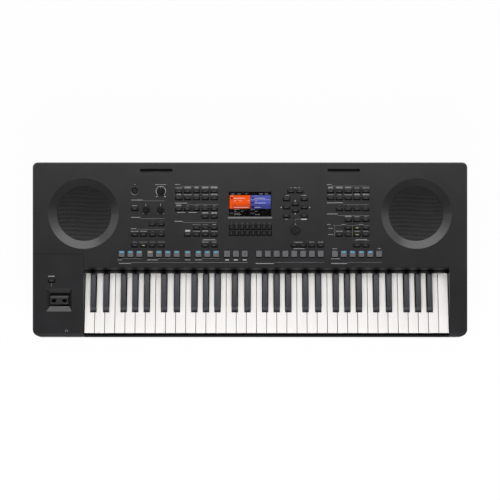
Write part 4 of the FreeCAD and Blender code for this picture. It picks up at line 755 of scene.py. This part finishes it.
# %% Pitch wheel
WHEEL_SHIFT = np.array([-0.6, 0.0, 0.0])
WHEEL_AT = from_panel(JOINTS["pitch_wheel_bend"]["pos_m"]) + WHEEL_SHIFT
WHEEL_RADIUS, WHEEL_HALF, RIM_ROUND, AXLE_RADIUS = 20.0, 21.2, 1.0, 3.0
WHEEL_RINGS, WHEEL_STEPS = 101, 240
AXLE_ENDS = (-33.5, 25.5)
HOLLOW_AT, HOLLOW_LONG, HOLLOW_WIDE, HOLLOW_DEEP = 12.4, 5.2, 4.8, 4.6
HOLLOW_EDGE, HOLLOW_WALL = 1.1, 0.12
# Near-black plates of painted shade on the floors of the hollows: width, depth, corner round and thickness in
# mm
SHADE_PLATE_WIDE, SHADE_PLATE_DEEP, SHADE_PLATE_ROUND, SHADE_PLATE_THICK = 10.8, 9.8, 4.6, 0.3
GROOVE_DEEP, GROOVE_WIDE = 1.4, 6.0
GRIP_MIDDLE, GRIP_HALF, GRIP_STEP, GRIP_SLOPE = -2.1, 9.3, 5.0, 0.7


def wheel_radius(along, turn):
    """Radius of the wheel in mm: the full circle, less a groove, two hollows, the round of its rims and a
    step beyond the grip. The groove is a bell curve of the arc from the grip's middle. A hollow sinks over a
    steep wall where an oval's equation falls below its edge. The rim is the quarter circle one minus the
    root of one minus the squared share past its start. The step rises in a line over a short slope."""
    arc_length = WHEEL_RADIUS * turn - GRIP_MIDDLE
    groove = GROOVE_DEEP * np.exp(-(arc_length / GROOVE_WIDE) ** 2)
    oval = np.hypot((np.abs(along) - HOLLOW_AT) / HOLLOW_LONG, arc_length / HOLLOW_WIDE)
    hollow = HOLLOW_DEEP * np.clip((HOLLOW_EDGE - oval) / HOLLOW_WALL, 0.0, 1.0)
    past = np.clip((np.abs(along) - WHEEL_HALF) / RIM_ROUND + 1.0, 0.0, 1.0)
    step = GRIP_STEP * np.clip((np.abs(arc_length) - GRIP_HALF) / GRIP_SLOPE, 0.0, 1.0)
    return WHEEL_RADIUS - groove - hollow - step - RIM_ROUND * (1.0 - np.sqrt(1.0 - past ** 2))


turn = np.linspace(math.pi, -math.pi, WHEEL_STEPS, endpoint=False)
along = np.linspace(-WHEEL_HALF, WHEEL_HALF, WHEEL_RINGS)[:, None]
axle = np.full((2, len(turn)), AXLE_RADIUS)
radius = np.concatenate([axle, wheel_radius(along, turn), axle])
places = np.concatenate([[AXLE_ENDS[0], -WHEEL_HALF], along[:, 0], [WHEEL_HALF, AXLE_ENDS[1]]])[:, None]
points = np.stack([places + 0.0 * turn, radius * np.sin(turn), radius * np.cos(turn)], -1)
shape = on_panel(points + WHEEL_AT), ring_faces(*radius.shape)
piece = make_piece("pitch_wheel_roller", shape, "pitch_wheel", FINISH["wheel_black"])
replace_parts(piece, "pitch_wheel")
# Painted shade in the two hollows
spots = WHEEL_AT[:2] + np.array([[-HOLLOW_AT, GRIP_MIDDLE], [HOLLOW_AT, GRIP_MIDDLE]])
floor_n = WHEEL_AT[2] + WHEEL_RADIUS - HOLLOW_DEEP
shape = caps(spots, SHADE_PLATE_WIDE, SHADE_PLATE_DEEP, SHADE_PLATE_ROUND, even([(0.0, floor_n - SHADE_PLATE_THICK), (0.0, floor_n)]))
make_piece("pitch_wheel_hollow_shade", shape, "pitch_wheel", SHADE_AND_SEAM_FINISH, smooth=False)
print("wheel rings:", len(places))

# %% [markdown]
# The speaker covers are fine steel mesh, pressed into a shallow dish, so the part nearest the player catches
# the light from behind. Rolling leaves faint ripples across the sheet. A pattern of holes in a finish would
# look flat from the side, so the mesh is real: one height formula holds for dish and ripples, and two
# families of flat bars follow it, with black cloth below.

# %% Speaker grilles
GRILLES = {"left": (-384.5, 133.3), "right": (384.5, 133.3)}
GRILLE_RADIUS, GRILLE_RIM_N, GRILLE_DISH = 62.8, -11.4, 3.4
BAR_PITCH, BAR_WIDE, BAR_THICK, BAR_STEPS, WEAVE_DROP = 2.8, 2.1, 0.5, 49, 0.4
RIPPLE_PITCH, RIPPLE_HIGH, RIPPLE_SWAY, SWAY_LONG = 9.5, 0.07, 1.8, 21.0
CLOTH_BELOW, CLOTH_THICK, CLOTH_INSET, CLOTH_RINGS = 1.2, 0.6, 0.3, 24
BARS_EACH_SIDE = int(GRILLE_RADIUS // BAR_PITCH)


def dish_height(radius_squared):
    """Height of the dish in mm: a parabola that is zero at the rim."""
    return GRILLE_DISH * (radius_squared / GRILLE_RADIUS ** 2 - 1.0)


def grille_height(x, w):
    """Height of the mesh in mm: the rim's height, the dish, and ripples along w, a cosine whose phase sways
    with a sine of x."""
    phase = 2 * math.pi * (w + RIPPLE_SWAY * np.sin(x / SWAY_LONG)) / RIPPLE_PITCH
    return GRILLE_RIM_N + dish_height(x ** 2 + w ** 2) + RIPPLE_HIGH * np.cos(phase)


def mesh_bars(centre):
    """Two families of flat bars. A bar lies at a whole number of pitches from the middle and ends on the rim
    circle, so half its length is the root of the radius squared less its offset squared."""
    offset = np.arange(-BARS_EACH_SIDE, BARS_EACH_SIDE + 1)[:, None, None] * BAR_PITCH
    side, lift = np.array([[-0.5, -0.5], [0.5, -0.5], [0.5, 0.5], [-0.5, 0.5]]).T
    run = np.linspace(-1.0, 1.0, BAR_STEPS)[:, None] * np.sqrt(GRILLE_RADIUS ** 2 - offset ** 2) + 0.0 * side
    aside = offset + BAR_WIDE * side + 0.0 * run
    along = np.stack([run, aside, grille_height(run, aside) + BAR_THICK * lift], -1)
    across = np.stack([-aside, run, grille_height(-aside, run) + BAR_THICK * (lift - WEAVE_DROP)], -1)
    points = np.concatenate([along, across])
    return on_panel(points + [*centre, 0.0]), ring_faces(BAR_STEPS, 4, len(points))


CLOTH_FINISH = finish("grille_cloth", (0.004, 0.004, 0.004), 0.9, 0.4, 0.05, Specular_IOR_Level=0.2)
MESH_FINISH = finish("grille_mesh", (0.0095, 0.0095, 0.0098), 0.38, 0.4, 0.01, Specular_IOR_Level=0.36)
reach = np.linspace(CLOTH_INSET, GRILLE_RADIUS - CLOTH_INSET, CLOTH_RINGS)
sunk = GRILLE_RIM_N - CLOTH_BELOW + dish_height(reach ** 2)
cloth = [(radius, height - CLOTH_THICK, 0) for radius, height in zip(reach, sunk)]
cloth += [(radius, height, 0) for radius, height in zip(reach[::-1], sunk[::-1])]
for word, centre in GRILLES.items():
    shape = mesh_bars(centre)
    piece = make_piece(f"speaker_mesh_{word}", shape, "case", MESH_FINISH, smooth=False)
    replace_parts(piece, f"speaker_grille_{word}")
    shape = turned(centre, cloth, around=64)
    make_piece(f"speaker_cloth_{word}", shape, "case", CLOTH_FINISH)
print("bars in a mesh:", 2 * (2 * BARS_EACH_SIDE + 1))

# %% [markdown]
# The display is a clear window over a lit panel. The panel shows two coloured tiles with plain bars. The
# tiles are thin plates that glow by themselves, because light from outside hardly comes back through glass.
# A low lip in front of the window is one section carried along x. Its grey is lighter than the case's, a
# painted highlight along the lip.

# %% Display
SCREEN_W, SCREEN_WIDE, SCREEN_DEEP, SCREEN_ROUND = 155.2, 98.0, 56.0, 1.0
GLASS_LOW, GLASS_HIGH, GLASS_EDGE, BORDER = -4.8, -3.0, 0.2, 4.0
GLASS_FINISH = finish("screen_clear", (1.0, 1.0, 1.0), 0.06, 0.8, 0.0005, drift=0.0, Transmission_Weight=1.0,
                      IOR=1.2, Specular_IOR_Level=0.1)
PANE = [(GLASS_EDGE, GLASS_LOW), (0.0, GLASS_LOW + GLASS_EDGE), (0.0, GLASS_HIGH - GLASS_EDGE),
        (GLASS_EDGE, GLASS_HIGH)]
wide, deep = SCREEN_WIDE + 2 * BORDER, SCREEN_DEEP + 2 * BORDER
shape = caps(np.array([[0.0, SCREEN_W]]), wide, deep, SCREEN_ROUND, even(PANE))
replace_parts(make_piece("screen_glass", shape, "case", GLASS_FINISH), "display_window")

LIP_SECTION = np.array([(125.4, -0.1), (122.3, 1.6), (121.9, 1.45), (121.3, -0.1)])
LIP_ENDS = (-51.0, 51.0)
# Painted highlight: the lip's grey is much lighter than the case around it
LIP_HIGHLIGHT_FINISH = finish("screen_lip_grey", (0.075, 0.075, 0.077), 0.4, 0.5, 0.02)
make_piece("screen_lip", carried(LIP_SECTION, LIP_ENDS), "case", LIP_HIGHLIGHT_FINISH, smooth=False)
print("window in mm:", wide, "by", deep)

# %% [markdown]
# The picture is built up in layers a few hundredths of a millimetre apart: tiles, a darker band along the
# lower edge of each tile, and bars in place of words. Every layer is a set of thin plates.

# %% Picture on the display
PICTURE_N, TILE_GLOW, BAR_GLOW = -4.93, 0.5, 0.3
# Height over the picture's plane and thickness of each layer
TILE_LAYER, BAND_LAYER, BAR_LAYER = (0.0, 0.06), (0.03, 0.04), (0.05, 0.05)
TILE_LOW, BAND_HIGH, TILE_HIGH = 144.6, 155.6, 175.6
# Tiles and bands: name, left end, right end, top, layer, finish and colour
TILES = [("tile_left", -47.0, 0.6, TILE_HIGH, TILE_LAYER, "tile_orange", (0.465, 0.047, 0.001)),
         ("tile_right", 1.4, 48.0, TILE_HIGH, TILE_LAYER, "tile_blue", (0.042, 0.054, 0.235)),
         ("band_left", -42.0, 0.6, BAND_HIGH, BAND_LAYER, "band_orange", (0.33, 0.033, 0.001)),
         ("band_right", 1.4, 48.0, BAND_HIGH, BAND_LAYER, "band_blue", (0.024, 0.031, 0.14))]
# Bars: left end, middle height, length and thickness
PALE_BARS = [(-46.3, 174.3, 7, 0.7), (-37, 168.7, 25, 1.2), (-37, 163.1, 5, 0.8), (-26, 163.1, 9, 0.7),
             (-5.5, 163.1, 5, 0.8), (-37, 147.6, 34, 1.0), (11.6, 174.3, 5.5, 0.6),
             (11.6, 168.7, 23, 0.9), (1.4, 165.4, 46, 0.45), (11.6, 163.1, 5.5, 0.6),
             (11.6, 157.8, 24.5, 1.0), (11.6, 147.6, 12.7, 0.9)]
DIM_BARS = [(-43.8, 178.7, 8.5, 1.2), (-30, 178.7, 9, 1.4), (-11.5, 178.7, 7, 0.6),
            (20.9, 178.7, 8.5, 1.8), (34.7, 178.7, 7, 1.6), (-37, 142.8, 13, 1.2), (-37, 138.6, 5.3, 1.1),
            (-20.7, 138.6, 5, 1.2), (-46.5, 134.2, 7.5, 1.0), (-37, 134.2, 14, 1.2),
            (-37, 131.1, 16, 1.3), (1.4, 142.8, 10, 1.0), (11.6, 138.6, 4.8, 1.2), (1.4, 134.2, 9, 0.9),
            (11.6, 131.1, 11.5, 1.4)]
DARK_BARS = [(-43.8, 169, 4, 4), (4.2, 168.7, 3.6, 3.2), (2.4, 158.9, 6.4, 3.3), (2.4, 148.7, 6.4, 3.6)]


def screen_plates(name, rows, layer, material):
    """Flat plates in one layer of the picture: left end, middle height, length and thickness of each."""
    lift, thick = layer
    left, middle, length, tall = np.array(rows, float).T
    level = np.zeros(len(rows))
    centres = np.column_stack([left + length / 2, middle, level + PICTURE_N + lift])
    shape = plates(centres, np.column_stack([length, tall, level + thick]))
    return make_piece(f"screen_{name}", shape, "case", material, smooth=False)


for name, left, right, high, layer, tone, color in TILES:
    row = (left, (TILE_LOW + high) / 2, right - left, high - TILE_LOW)
    screen_plates(name, [row], layer, lamp_finish(tone, color, TILE_GLOW, Specular_IOR_Level=0.1))
screen_plates("bars_pale", PALE_BARS, BAR_LAYER, lamp_finish("bar_pale", (0.42, 0.395, 0.38), BAR_GLOW))
screen_plates("bars_dim", DIM_BARS, BAR_LAYER, lamp_finish("bar_dim", (0.12, 0.116, 0.112), BAR_GLOW))
screen_plates("bars_dark", DARK_BARS, BAR_LAYER, FINISH["display_panel"])
print("plates on the screen:", len(TILES) + len(PALE_BARS) + len(DIM_BARS) + len(DARK_BARS))

# %% [markdown]
# White print guides the player: captions over the buttons, a heading and a rule over each block, arrows by
# the cursor keys and a scale round the volume knob. Captions are plain bars of differing length, and the
# only figures are plain numbers. Real print is a film, so these plates stand out by about a twentieth of a
# millimetre.

# %% Captions over the caps
DIM, GREY, BRIGHT, WHITE = "dim", "grey", "bright", "white"
PRINT_COLORS = {DIM: (0.14, 0.14, 0.145), GREY: (0.25, 0.25, 0.255), BRIGHT: (0.31, 0.31, 0.315),
                WHITE: (0.50, 0.50, 0.50)}
PRINT = {tone: finish(f"print_{tone}", color, 0.55, 0.3, 0.004, drift=0.06, broad=3.0)
         for tone, color in PRINT_COLORS.items()}
# Captions of each group, row by row from the rear left: length in millimetres, lines and tone
CAPTIONS = {
    "tempo_buttons": [(10.5, 1, GREY), (2, 1, DIM), (2, 1, DIM), (17.8, 1, GREY), (15.4, 1, GREY),
                      (2, 1, DIM), (2, 1, DIM), (9, 1, DIM), (18.6, 1, DIM), (12, 1, DIM), (16, 1, DIM)],
    "style_buttons": [(15.4, 1, GREY), (15.4, 2, BRIGHT), (9.7, 2, BRIGHT), (15.4, 2, BRIGHT),
                      (16.2, 2, BRIGHT), (11.3, 2, GREY), (17.8, 1, GREY), (9, 1, GREY), (13, 1, GREY),
                      (16, 2, GREY)],
    "song_buttons": [(12.2, 2, BRIGHT), (2.4, 1, GREY), (7, 1, DIM), (6, 1, DIM), (4, 1, GREY),
                     (15.4, 2, GREY), (14.6, 2, BRIGHT)],
    "control_buttons": [(18.6, 1, DIM), (13, 1, DIM), (8, 1, GREY), (0, 0, DIM), (15.4, 1, GREY),
                        (13.8, 2, GREY), (13.8, 1, GREY), (14.6, 1, GREY), (9.7, 1, GREY)],
    "setup_buttons": [(2, 1, DIM), (2, 1, DIM), (11.5, 1, GREY), (11.9, 1, GREY)],
    "voice_buttons": [(11.9, 2, BRIGHT), (16.4, 2, BRIGHT), (14.8, 2, GREY), (10, 1, GREY),
                      (15.7, 1, GREY), (12.3, 1, GREY), (6.8, 1, GREY), (17.6, 1, GREY),
                      (12.5, 2, BRIGHT), (16.4, 2, GREY)],
    "part_buttons": [(0, 0, DIM)] * 4 + [(14.8, 2, GREY), (11.4, 1, GREY), (6.8, 1, DIM)]
                    + [(0, 0, DIM)] * 3 + [(14.8, 1, GREY), (6.8, 1, DIM), (11.4, 1, GREY),
                                           (11.4, 1, GREY), (1.5, 1, DIM), (1.5, 1, DIM)],
}
FIRST_LINE, LINE_STEP, CAPTION_TALL, SECOND_LINE = 7.4, 1.9, 1.25, 0.8
WORD_LONGEST, WORD_GAP, WORD_SHARE, SHARE_SPREAD, GOLDEN = 8.0, 0.8, 0.35, 0.3, 0.618


def by_rows(middles):
    """Cap middles sorted row by row from the rear, each row from the left."""
    return middles[np.lexsort((middles[:, 0].round(), -middles[:, 1].round()))]


def words(marks):
    """Splits every mark over the longest word into two bars with a gap, at a share that changes from mark to
    mark by the golden ratio. A mark is x, w, length and height."""
    long = marks[:, 2] > WORD_LONGEST
    x, w, length, tall = marks[long].T
    share = WORD_SHARE + SHARE_SPREAD * ((np.arange(long.sum()) * GOLDEN) % 1.0)
    first, second = length * share - WORD_GAP / 2, length * (1.0 - share) - WORD_GAP / 2
    left = np.column_stack([x - length / 2 + first / 2, w, first, tall])
    right = np.column_stack([x + length / 2 - second / 2, w, second, tall])
    return np.concatenate([marks[~long], left, right])


def print_marks(name, marks, material):
    """Thin plates of print on the panel, one for each mark."""
    x, w, length, tall = np.asarray(marks, float).T
    flat = np.zeros(len(x))
    shape = plates(np.column_stack([x, w, flat]), np.column_stack([length, tall, flat + PRINT_THICK]))
    return make_piece(name, shape, "case", material, smooth=False)


marks = {DIM: [], GREY: [], BRIGHT: []}
for group, rows in CAPTIONS.items():
    for (x, w), (length, lines, tone) in zip(by_rows(CAPS[group]), rows):
        lengths = [length, SECOND_LINE * length][:lines]
        marks[tone] += [(x, w + FIRST_LINE + step * LINE_STEP, span, CAPTION_TALL)
                        for step, span in enumerate(lengths)]
for tone, rows in marks.items():
    print_marks(f"captions_{tone}", words(np.array(rows)), PRINT[tone])
print("captions:", {tone: len(rows) for tone, rows in marks.items()})

# %% [markdown]
# Each block of buttons has a heading with a rule running on to the right. The pads have theirs in front.
# Smaller captions stand beside the knobs, the cursor keys and the wheel.

# %% Headings, rules and small marks
# Headings: left end, height and length
HEADINGS = [(-274.4, 164.4, 26.8), (-274.4, 124.5, 21), (-274.4, 98.4, 12.5), (-172.8, 200.2, 10.9),
            (-172.8, 157.3, 27.3), (-173.7, 115.2, 19), (177.8, 200, 10.9), (177.8, 158, 37),
            (177.8, 132.3, 24.5), (-302.6, 18.2, 27.3), (13, 18, 42.3), (187.5, 18, 36.5),
            (-305.3, 26.2, 9.7), (-237, 26.3, 24), (-150, 26.3, 12.5), (-126.8, 26.3, 16)]
# Rules along the panel: left end, right end, height
RULES = [(-246.6, -197.2, 162.6), (-252.2, -197.2, 121.7), (-260, -197.2, 96.8), (-161, -74.1, 196.1),
         (-144.1, -74.1, 154.3), (-154.7, -76.2, 112.9), (189.9, 275.1, 196.6), (216.2, 275.1, 154.3),
         (203, 275.1, 128.6), (-296, -249.4, 29.6), (-212, -162.4, 29.6), (-110.6, -70.4, 29.6),
         (-274.4, -5.3, 20.3), (56, 170.4, 20.7), (225, 304.4, 20.7), (191.6, 210.5, 106),
         (222.5, 250, 106), (262, 275.1, 106), (-111.5, -77.0, 71.4), (239.5, 275.5, 71.4),
         (105.3, 118.5, 120.1)]
# Rules across the panel: x, front end, rear end
CROSS_RULES = [(195.6, 81.3, 104.6), (236.3, 81.3, 104.6), (105.3, 112, 120.1), (-458.2, -36, -27.5)]
# Small captions and bold ones: x, w, length, height
SMALL_MARKS = [(-206.1, 200, 25, 1.3), (-265.6, 200.2, 2.6, 1.3), (-159, 135.8, 18.2, 1.3),
               (-131.8, 135.8, 19.2, 1.3), (-94.5, 73.2, 28, 1.3), (195.6, 52, 10.7, 1.3),
               (297.9, 52.4, 6.8, 1.3), (94.5, 192.8, 4.5, 1.2), (104, 192.8, 6.5, 1.2),
               (113.5, 192.8, 3.5, 1.2), (85.9, 175.1, 8, 1.3), (124.7, 175.1, 10.5, 1.3),
               (84.1, 120.1, 5, 1.3), (112.2, 67, 16, 1.3), (113.4, 52.2, 25, 1.2),
               (181.8, 107.9, 7.8, 1.3), (216.2, 107.9, 10, 1.3), (256.1, 107.9, 10, 1.3),
               (186.4, 99.1, 9.6, 1.3), (186.4, 85, 11.4, 1.3), (257.2, 73.2, 26, 1.3),
               (197.3, 28.9, 20, 1.3), (-458.2, -11.6, 14, 2), (-246.2, 133.5, 1.7, 1.7),
               (-233.3, 133.5, 1.2, 1.2), (-212, 133.5, 1.2, 1.2), (-199.6, 133.5, 1.7, 1.7)]
BOLD_MARKS = [(124.7, 120.1, 12.5, 2), (-52.9, 26.2, 8.5, 1.9), (-32.5, 26.2, 8.5, 1.9),
              (-12.2, 26.2, 8.5, 1.9), (-240.4, 153.2, 1.0, 5.4), (-206.7, 153.2, 1.0, 5.4),
              (-206.2, 194.3, 1.1, 3.6), (-215.2, 172.6, 3.0, 1.2), (-196.3, 172.6, 3.0, 1.2)]
START_MARK = (START_PLACE[0], 93.4, 11.6, 4.4)
HEADING_TALL, RULE_TALL = 1.5, 0.4

left, height, length = np.array(HEADINGS).T
headings = np.column_stack([left + length / 2, height, length, 0 * left + HEADING_TALL])
print_marks("headings", words(headings), PRINT[GREY])
start, end, height = np.array(RULES).T
along = np.column_stack([(start + end) / 2, height, end - start, 0 * start + RULE_TALL])
side, start, end = np.array(CROSS_RULES).T
across = np.column_stack([side, (start + end) / 2, 0 * side + RULE_TALL, end - start])
print_marks("rules", np.concatenate([along, across]), PRINT[GREY])
print_marks("small_marks", words(np.array(SMALL_MARKS)), PRINT[GREY])
print_marks("bold_marks", BOLD_MARKS, PRINT[WHITE])
print_marks("start_mark", [START_MARK], PRINT[BRIGHT])
print("headings:", len(HEADINGS), "rules:", len(RULES) + len(CROSS_RULES))

# %% [markdown]
# Arrows are flat triangles. The volume scale is a strip bent to an arc. The figures come from the built-in
# font and are turned into flat meshes before they are set on the panel.

# %% Arrows, scale and figures
SCALE_RADIUS, SCALE_THICK, SCALE_ENDS = 11.1, 0.8, (-47, 227)
ARROW_SIZE = 1.9
# Arrows: x, w and the angle that they point along
ARROWS = [(104.6, 162.4, 90), (72.3, 147.6, 180), (137.4, 147.6, 0), (104.6, 133, 270), (104.6, 109, 90)]
CATEGORY_FIGURE_W, MEMORY_FIGURE_W, PANEL_FIGURE_TALL = 110.9, 151.6, 2.4
PAD_FIGURE_SHIFT, PAD_FIGURE_TALL = np.array([0.0, -2.2]), 3.2
# Height of a figure over the size of its font, and steps in its curves
FIGURE_SHARE, FIGURE_STEPS = 0.7, 3


def arc(centre, radius, thick, start, end, steps=48):
    """A strip bent to an arc: the angle runs along it, and a small rectangle goes round its section."""
    angle = np.radians(np.linspace(start, end, steps))[:, None]
    across, lift = np.array([[-0.5, -0.5], [-0.5, 0.5], [0.5, 0.5], [0.5, -0.5]]).T
    reach = radius + thick * across
    points = np.stack([reach * np.cos(angle), reach * np.sin(angle), PRINT_THICK * lift + 0.0 * angle], -1)
    return on_panel(points + [*centre, 0.0]), ring_faces(steps, 4)


def arrows(places, degrees, size):
    """Flat triangles whose tip points along an angle: three corners a third of a turn apart."""
    turn = np.radians(np.asarray(degrees, float))[:, None] + np.array([0.0, 2.0, 4.0]) * math.pi / 3
    corner = np.asarray(places, float)[:, None] + size * np.stack([np.cos(turn), np.sin(turn)], -1)
    rings = np.stack([np.insert(corner, 2, lift * PRINT_THICK, axis=-1) for lift in (-0.5, 0.5)], 1)
    return on_panel(rings), ring_faces(2, 3, len(places))


def figures(signs, places, tall, lift):
    """Plain figures as flat meshes: the outline of each sign, centred on its place."""
    points, faces, count = [], [], 0
    for sign, place in zip(signs, places):
        curve = bpy.data.curves.new("sign", "FONT")
        curve.body, curve.size, curve.extrude = sign, tall / FIGURE_SHARE, MM
        curve.resolution_u = FIGURE_STEPS
        curve.align_x, curve.align_y = "CENTER", "CENTER"
        outline = bpy.data.objects.new("sign", curve)
        mesh = bpy.data.meshes.new_from_object(outline)
        corners = corners_of(mesh)
        corners[:, 2] = np.sign(corners[:, 2]) * PRINT_THICK / 2 + lift
        points.append(corners + [*place, 0.0])
        faces += [[index + count for index in face.vertices] for face in mesh.polygons]
        count += len(corners)
        bpy.data.objects.remove(outline)
    return on_panel(np.concatenate(points)), faces


shape = arc(KNOBS["master_volume_knob"], SCALE_RADIUS, SCALE_THICK, *SCALE_ENDS)
make_piece("volume_scale", shape, "case", PRINT[WHITE], smooth=False)
x, w, degrees = np.array(ARROWS).T
shape = arrows(np.column_stack([x, w]), degrees, ARROW_SIZE)
make_piece("cursor_arrows", shape, "case", PRINT[WHITE], smooth=False)

category_x = by_rows(CAPS["category_buttons"])[:8, 0]
memory_x = by_rows(CAPS["part_buttons"])[:4, 0]
spots = [(x, CATEGORY_FIGURE_W) for x in category_x] + [(x, MEMORY_FIGURE_W) for x in memory_x]
shape = figures("12345678" "1234", spots, PANEL_FIGURE_TALL, 0.0)
make_piece("panel_figures", shape, "case", PRINT[GREY], smooth=False)
pad_spots = by_rows(CAPS["registration_buttons"]) + PAD_FIGURE_SHIFT
shape = figures("12345678", pad_spots, PAD_FIGURE_TALL, LEGEND_N)
make_piece("pad_figures", shape, "registration_buttons", LEGEND_FINISH, smooth=False)
print("figures:", len(spots) + len(pad_spots))

# %% [markdown]
# The panel's front edge is round, so it mirrors the keys below it: dark behind every sharp, light between.
# A render finds such an image only where the curve and the gloss are just right. Here it is a pattern in
# the finish, so it stays where it is when a key goes down. The sharps of one octave give the places, and the
# pattern repeats octave by octave.

# %% Keys mirrored in the panel's edge
STRIP_ENDS = (-383.4, 459.8)
MIRROR_DARK, MIRROR_LIGHT = 0.05, 2.0
# Where the mirrored keys start, where they begin to fade and where they end, in mm up the panel
EDGE_W = (-7.0, 5.5, 10.5)
SHARPS_APART = 12.0

across = np.sort(corners_of(NODES["black_keys_1"].data)[:, 0])
breaks = np.nonzero(np.diff(across) > SHARPS_APART * MM)[0] + 1
sharps = np.array([(part[0] + part[-1]) / 2 for part in np.split(across, breaks)])
OCTAVE = NODES["black_keys_2"].bound_box[0][0] - NODES["black_keys_1"].bound_box[0][0]
PATTERN_START = (sharps[0] + sharps[-1] - OCTAVE) / 2
dark_places = (sharps - PATTERN_START) / OCTAVE
light_places = (dark_places[1:] + dark_places[:-1]) / 2
edge_front, edge_near, edge_far = on_panel([(0.0, w, 0.0) for w in EDGE_W])[:, 1]


def mirror_keys(material):
    """Multiplies the colour by a soft pattern over one octave, dark behind each sharp and light between, and
    returns the pattern. It acts along the strip, and it fades out behind the edge."""
    tree = material.node_tree
    octave = fade(tree, "X", PATTERN_START, PATTERN_START + OCTAVE)
    octave.node.clamp = False
    ramp = tree.nodes.new("ShaderNodeValToRGB")
    tree.links.new(combine(tree, "FRACT", octave), ramp.inputs["Fac"])
    ramp.color_ramp.interpolation = "EASE"
    stops = ramp.color_ramp.elements
    stops[0].color = stops[1].color = (MIRROR_LIGHT, MIRROR_LIGHT, MIRROR_LIGHT, 1.0)
    for places, level in ((dark_places, MIRROR_DARK), (light_places, MIRROR_LIGHT)):
        for where in places:
            stops.new(where).color = (level, level, level, 1.0)
    left, right = STRIP_ENDS
    share = combine(tree, "MULTIPLY", fade(tree, "Y", edge_far, edge_near),
                    fade(tree, "Y", edge_front - MM, edge_front))
    for start, end in ((left, left + 1.0), (right, right - 1.0)):
        share = combine(tree, "MULTIPLY", share, fade(tree, "X", start * MM, end * MM))
    tint(material, ramp.outputs["Color"], share)
    return ramp.outputs["Color"]


mirror_keys(FINISH["case_charcoal"])
print("sharps of one octave in mm:", (sharps / MM).round(1).tolist())

# %% [markdown]
# A narrow black strip hangs under the panel's front edge and hides the far ends of the keys. It is one
# section carried along x. Its near black is partly painted shade for the dark gap under the edge, and the
# painted reflection of the keys darkens its colour and gloss behind every sharp. Two fine seams part the
# left block from the panel, and a small sign marks the headphone socket.

# %% Strip, seams and sign
STRIP_SECTION = np.array([(0.3, -0.05), (-1.7, -0.45), (-3.5, -1.4), (-4.7, -2.8), (-5.2, -4.4), (-5.2, -5.5),
                          (0.3, -5.5)])
STRIP_GLOSS = 0.4
# Near black, partly painted shade for the gap under the edge. The painted reflection of the keys multiplies
# its colour and gloss
STRIP_FINISH = finish("strip_black", (0.006, 0.006, 0.006), 0.25, 0.4, 0.005)
gloss = combine(STRIP_FINISH.node_tree, "MULTIPLY", mirror_keys(STRIP_FINISH), STRIP_GLOSS)
feed(STRIP_FINISH.node_tree, gloss, gloss_socket(STRIP_FINISH))
make_piece("key_strip", carried(STRIP_SECTION, STRIP_ENDS), "case", STRIP_FINISH)

SEAMS = [(-441.5, 40.0, 111.0, 0.6), (-384.6, 23.5, 0.6, 32.0)]
print_marks("block_seams", SEAMS, SHADE_AND_SEAM_FINISH)
SIGN_X, SIGN_W, SIGN_RADIUS, SIGN_THICK = -423.6, -137.6, 2.3, 0.8
CUP_DROP, CUP_WIDE, CUP_TALL = 0.6, 1.3, 1.9
shape = arc((SIGN_X, SIGN_W), SIGN_RADIUS, SIGN_THICK, 0, 180, steps=16)
make_piece("phones_sign", shape, "case", PRINT[GREY], smooth=False)
cups = [(SIGN_X + side * SIGN_RADIUS, SIGN_W - CUP_DROP, CUP_WIDE, CUP_TALL) for side in (-1, 1)]
print_marks("phones_cups", cups, PRINT[GREY])
print("strip ends in mm:", STRIP_ENDS)
